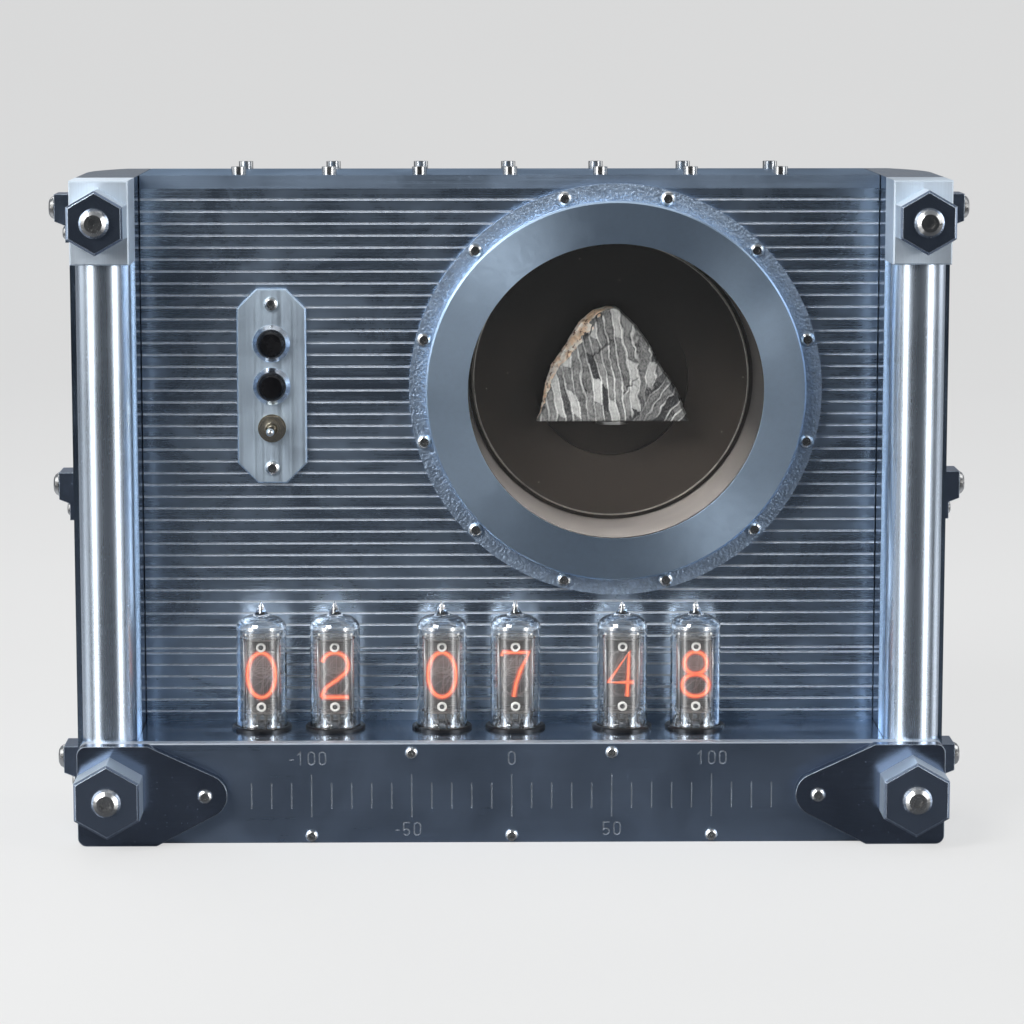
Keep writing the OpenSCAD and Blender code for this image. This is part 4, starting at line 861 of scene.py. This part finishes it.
def etch(x, z):
    """The etched face at a point: (tone, height, crack). Cross plates take over at the lower right."""
    wobble = 1.6 * noise.noise((x * 0.09, z * 0.07, 3.1)) + 0.55 * noise.noise((x * 0.3, z * 0.25, 9.7))
    wobble += 0.22 * noise.noise((x * 0.9, z * 0.7, 4.4))
    over = max(0.0, x - 3.0)
    broken = smooth_step(2.0, 12.0, x)
    wobble += broken * 1.5 * noise.noise((x * 0.2, z * 0.17, 31.0))
    wobble += broken * 0.7 * noise.noise((x * 0.5, z * 0.45, 35.0))
    lean = (0.17 - 0.022 * over) * z + 0.35 * over
    tone_a, high_a = lamella(x + lean + wobble, z, MAIN_PERIOD, 1.0)
    sway = 2.2 * noise.noise((x * 0.12, z * 0.12, 21.4)) + 0.6 * noise.noise((x * 0.35, z * 0.35, 2.4))
    tone_b, high_b = lamella(0.78 * x - 0.62 * z + sway, 0.62 * x + 0.78 * z, CROSS_PERIOD, 4.0)
    turn = 0.62 * x - 0.55 * z + 4.0 * noise.noise((x * 0.1, z * 0.1, 5.5)) - 1.0
    turn = smooth_step(-1.0, 3.5, turn)
    tone = (tone_a * (1 - turn) + tone_b * turn) * (1 - 0.25 * broken)
    return tone, high_a * (1 - turn) + high_b * turn, crack_depth(x, z)


def face_at(x, z, left, right):
    """Depth behind the front plane, tone and share of crust of the face, between its two edges."""
    tone, high, crack = etch(x, z)
    from_left, from_right = x - left, right - x
    wide = table(CRUST_WIDTH, z) * (1 + 0.5 * noise.noise((z * 0.35, 2.0, 8.0)))
    shell = 1 - smooth_step(wide * 0.75, wide * 1.1 + 0.05, from_left) if wide > 0.05 else 0.0
    dip = 3.4 * min(1.0, wide / 4) * beside(from_left, wide + 0.3) + 0.9 * beside(from_left, 0.9)
    dip += 0.9 * beside(from_right, 0.9) + 0.7 * beside(SLICE_HIGH - z, 0.8) + 0.25 * beside(z, 0.4)
    lumps = 0.55 * noise.noise((x * 0.8, z * 0.8, 40.0)) + 0.3 * noise.noise((x * 2.1, z * 2.1, 44.0))
    relief = 0.8 * high * (1 - shell) - 0.6 * crack + 0.2 * noise.noise((x * 0.5, z * 0.5, 12.0))
    relief += shell * lumps
    tone += 0.13 * noise.noise((x * 1.8, z * 1.2, 16.0))
    tone = min(1, max(0, tone * (1 - 0.95 * crack)))
    return FACE_DEPTH + min(dip, DEEPEST_DIP) - relief, tone, shell * (1 - crack)


def flank(edge, seed, row):
    """Where the slice ends on one side in a row of the grid, ragged above the foot."""
    share = row / SLICE_ROWS
    z = share * SLICE_HIGH
    ragged = 0.4 * noise.noise((seed, z * 0.45, 1.0)) + 0.25 * noise.noise((seed, z * 1.3, 4.0))
    return SLICE_HALF * table(edge, share) + ragged * min(1, row / STRAIGHT_ROWS)


def meteoric_iron():
    """Etched iron in the tones of the face, under a pale crust with rust in it."""
    material, tree, shader = start("meteoric_iron")
    tones = add(tree, "Attribute", attribute_name="tone").outputs["Fac"]
    shells = add(tree, "Attribute", attribute_name="crust").outputs["Fac"]
    grain = cloud(tree, 1.6, 4.0, (1, 1, 0.5), 0.6)
    rust = cloud(tree, 0.5, 4.0, EVEN, 0.65)
    patch = span(tree, cloud(tree, 0.3, 3.0), 0.4, 0.6)
    pale = maths(tree, "ADD", tones, vary(tree, grain, -0.07, 0.07))
    iron = mix(tree, pale, rgba((0.022, 0.022, 0.024)), rgba((0.82, 0.805, 0.77)))
    skin = mix(tree, patch, rgba((0.97, 0.70, 0.48)), rgba((0.98, 0.90, 0.80)))
    skin = mix(tree, span(tree, rust, 0.44, 0.36), skin, rgba((0.17, 0.07, 0.035)))
    share = span(tree, maths(tree, "ADD", shells, vary(tree, rust, -0.2, 0.2)), 0.4, 0.6)
    put(
        tree, shader, Base_Color=mix(tree, share, iron, skin), Metallic=span(tree, share, 0, 1, 0.45, 0.0),
        Roughness=span(tree, maths(tree, "ADD", pale, share), 0, 1, 0.36, 0.55),
        Normal=bump(tree, grain, 0.4, 0.1),
    )
    return material


def slice_piece():
    """The slice as a grid from edge to edge, with the etched relief on its face and a flat rear."""
    bm = bmesh.new()
    tone = bm.verts.layers.float.new("tone")
    crust = bm.verts.layers.float.new("crust")

    def vert(x, z, depth, its_tone, its_crust):
        """A point of the slice with its tone and its share of crust."""
        new = bm.verts.new((SLICE_X + x, SLICE_FRONT + depth, SLICE_FOOT + z))
        new[tone], new[crust] = its_tone, its_crust
        return new

    front, rim = [], ([], [])
    for i in range(SLICE_ROWS + 1):
        z = i / SLICE_ROWS * SLICE_HIGH
        left, right = (flank(edge, seed, i) for edge, seed in EDGES)
        across = [left + (right - left) * j / SLICE_COLUMNS for j in range(SLICE_COLUMNS + 1)]
        front.append([vert(x, z, *face_at(x, z, left, right)) for x in across])
        for side, x in enumerate((left, right)):
            rim[side].append(vert(x, z, SLICE_THICK, RIM_TONE, 1.0 - side))
    for i in range(SLICE_ROWS):
        for j in range(SLICE_COLUMNS):
            bm.faces.new((front[i][j], front[i][j + 1], front[i + 1][j + 1], front[i + 1][j]))
        for side, j in ((0, 0), (1, SLICE_COLUMNS)):
            bm.faces.new((front[i][j], front[i + 1][j], rim[side][i + 1], rim[side][i]))
        bm.faces.new((rim[0][i], rim[0][i + 1], rim[1][i + 1], rim[1][i]))
    for i in (0, SLICE_ROWS):
        bm.faces.new(front[i] + [rim[1][i], rim[0][i]])
    finish_piece("meteorite_slice", bm, [meteoric_iron()], "meteorite")


slice_piece()


# Floor, world and lamps, in metres

FLOOR_SIDES, BEND_STEPS = 96, 10
FLOOR_FLAT, FLOOR_BEND = 1.7, 1.3
BEND_ANGLES = [math.radians(90 * k / BEND_STEPS) for k in range(BEND_STEPS + 1)]
FLOOR_PROFILE = [
    (FLOOR_FLAT + FLOOR_BEND * math.sin(a), FLOOR_BEND * (1 - math.cos(a))) for a in BEND_ANGLES
]
WORLD_TINT, WORLD_LEVEL = (0.86, 0.92, 1.0), 0.31
CLOCK = (0, 0, 0.12)


def floor_look():
    """Pale to the camera and through glass; darker, above all in front, where the metal mirrors it."""
    material, tree, shader = start("floor")
    broad = cloud(tree, 0.004, 3.0)
    put(
        tree, shader, Roughness=0.8, Emission_Color=(1.0, 1.0, 0.995, 1), Emission_Strength=0.60,
        Base_Color=mix(tree, vary(tree, broad), rgba((0.18, 0.18, 0.179)), rgba((0.19, 0.19, 0.189))),
    )
    to_rear = span(tree, axis(tree, 1), -60, 60)
    mirrored = mix(tree, to_rear, rgba((0.10, 0.103, 0.11)), rgba((0.5, 0.51, 0.53)))
    dim = add(tree, "BsdfPrincipled", {"Base Color": mirrored, "Roughness": 0.07})
    path = add(tree, "LightPath").outputs
    seen = maths(tree, "MAXIMUM", path["Is Camera Ray"], path["Is Transmission Ray"])
    blend(tree, seen, dim, shader)
    return material


def floor():
    """A flat round floor that bends up into a wall all around."""
    bm = bmesh.new()
    rings = []
    for radius, height in FLOOR_PROFILE:
        angles = (2 * math.pi * k / FLOOR_SIDES for k in range(FLOOR_SIDES))
        rings.append([bm.verts.new((radius * math.cos(a), radius * math.sin(a), height)) for a in angles])
    bm.faces.new(rings[0])
    for one, two in zip(rings, rings[1:]):
        for k in range(FLOOR_SIDES):
            bm.faces.new((one[k], one[k - 1], two[k - 1], two[k])).smooth = True
    mesh = bpy.data.meshes.new("floor")
    bm.to_mesh(mesh)
    bm.free()
    mesh.materials.append(floor_look())
    piece = bpy.data.objects.new("floor", mesh)
    scene.collection.objects.link(piece)


def lamp(name, spot, aim, wide, high, power, spread):
    """A rectangular lamp that the camera doesn't see."""
    light = bpy.data.lights.new(name, "AREA")
    light.shape = "RECTANGLE"
    light.size, light.size_y = wide, high
    light.energy = power
    light.spread = math.radians(spread)
    piece = bpy.data.objects.new(name, light)
    piece.location = spot
    piece.rotation_euler = (Vector(aim) - Vector(spot)).to_track_quat("-Z", "Y").to_euler()
    piece.visible_camera = False
    scene.collection.objects.link(piece)


floor()
world = bpy.data.worlds.new("studio")
world.use_nodes = True
scene.world = world
background = world.node_tree.nodes["Background"]
background.inputs["Color"].default_value = rgba(WORLD_TINT)
background.inputs["Strength"].default_value = WORLD_LEVEL
lamp("softbox_left", (-1.2, -0.90, 0.60), CLOCK, 1.0, 1.1, 1.3, 75)
lamp("softbox_right", (1.25, -0.85, 0.60), CLOCK, 1.0, 1.1, 1.2, 75)
lamp("softbox_side_left", (-1.40, 0.10, 0.55), CLOCK, 0.8, 1.0, 0.8, 75)
lamp("softbox_side_right", (1.40, 0.45, 0.55), CLOCK, 0.8, 1.0, 0.9, 75)
lamp("strip_left", (-1.1, -0.88, 0.45), CLOCK, 0.3, 0.9, 0.8, 75)
lamp("strip_right", (1.1, -0.85, 0.45), CLOCK, 0.3, 0.9, 0.9, 75)
lamp("softbox_front", (-0.95, -1.25, 1.30), CLOCK, 0.8, 0.6, 4.1, 80)
lamp("softbox_top", (0, 0.35, 1.7), (0, 0.15, 0), 1.8, 1.0, 2.2, 120)
lamp("softbox_rear", (-0.7, 1.5, 1.5), CLOCK, 1.2, 0.6, 2.0, 90)
lamp("backdrop", (0, 1.2, 1.7), (0, 2.6, 0.2), 2.4, 0.6, 5, 130)
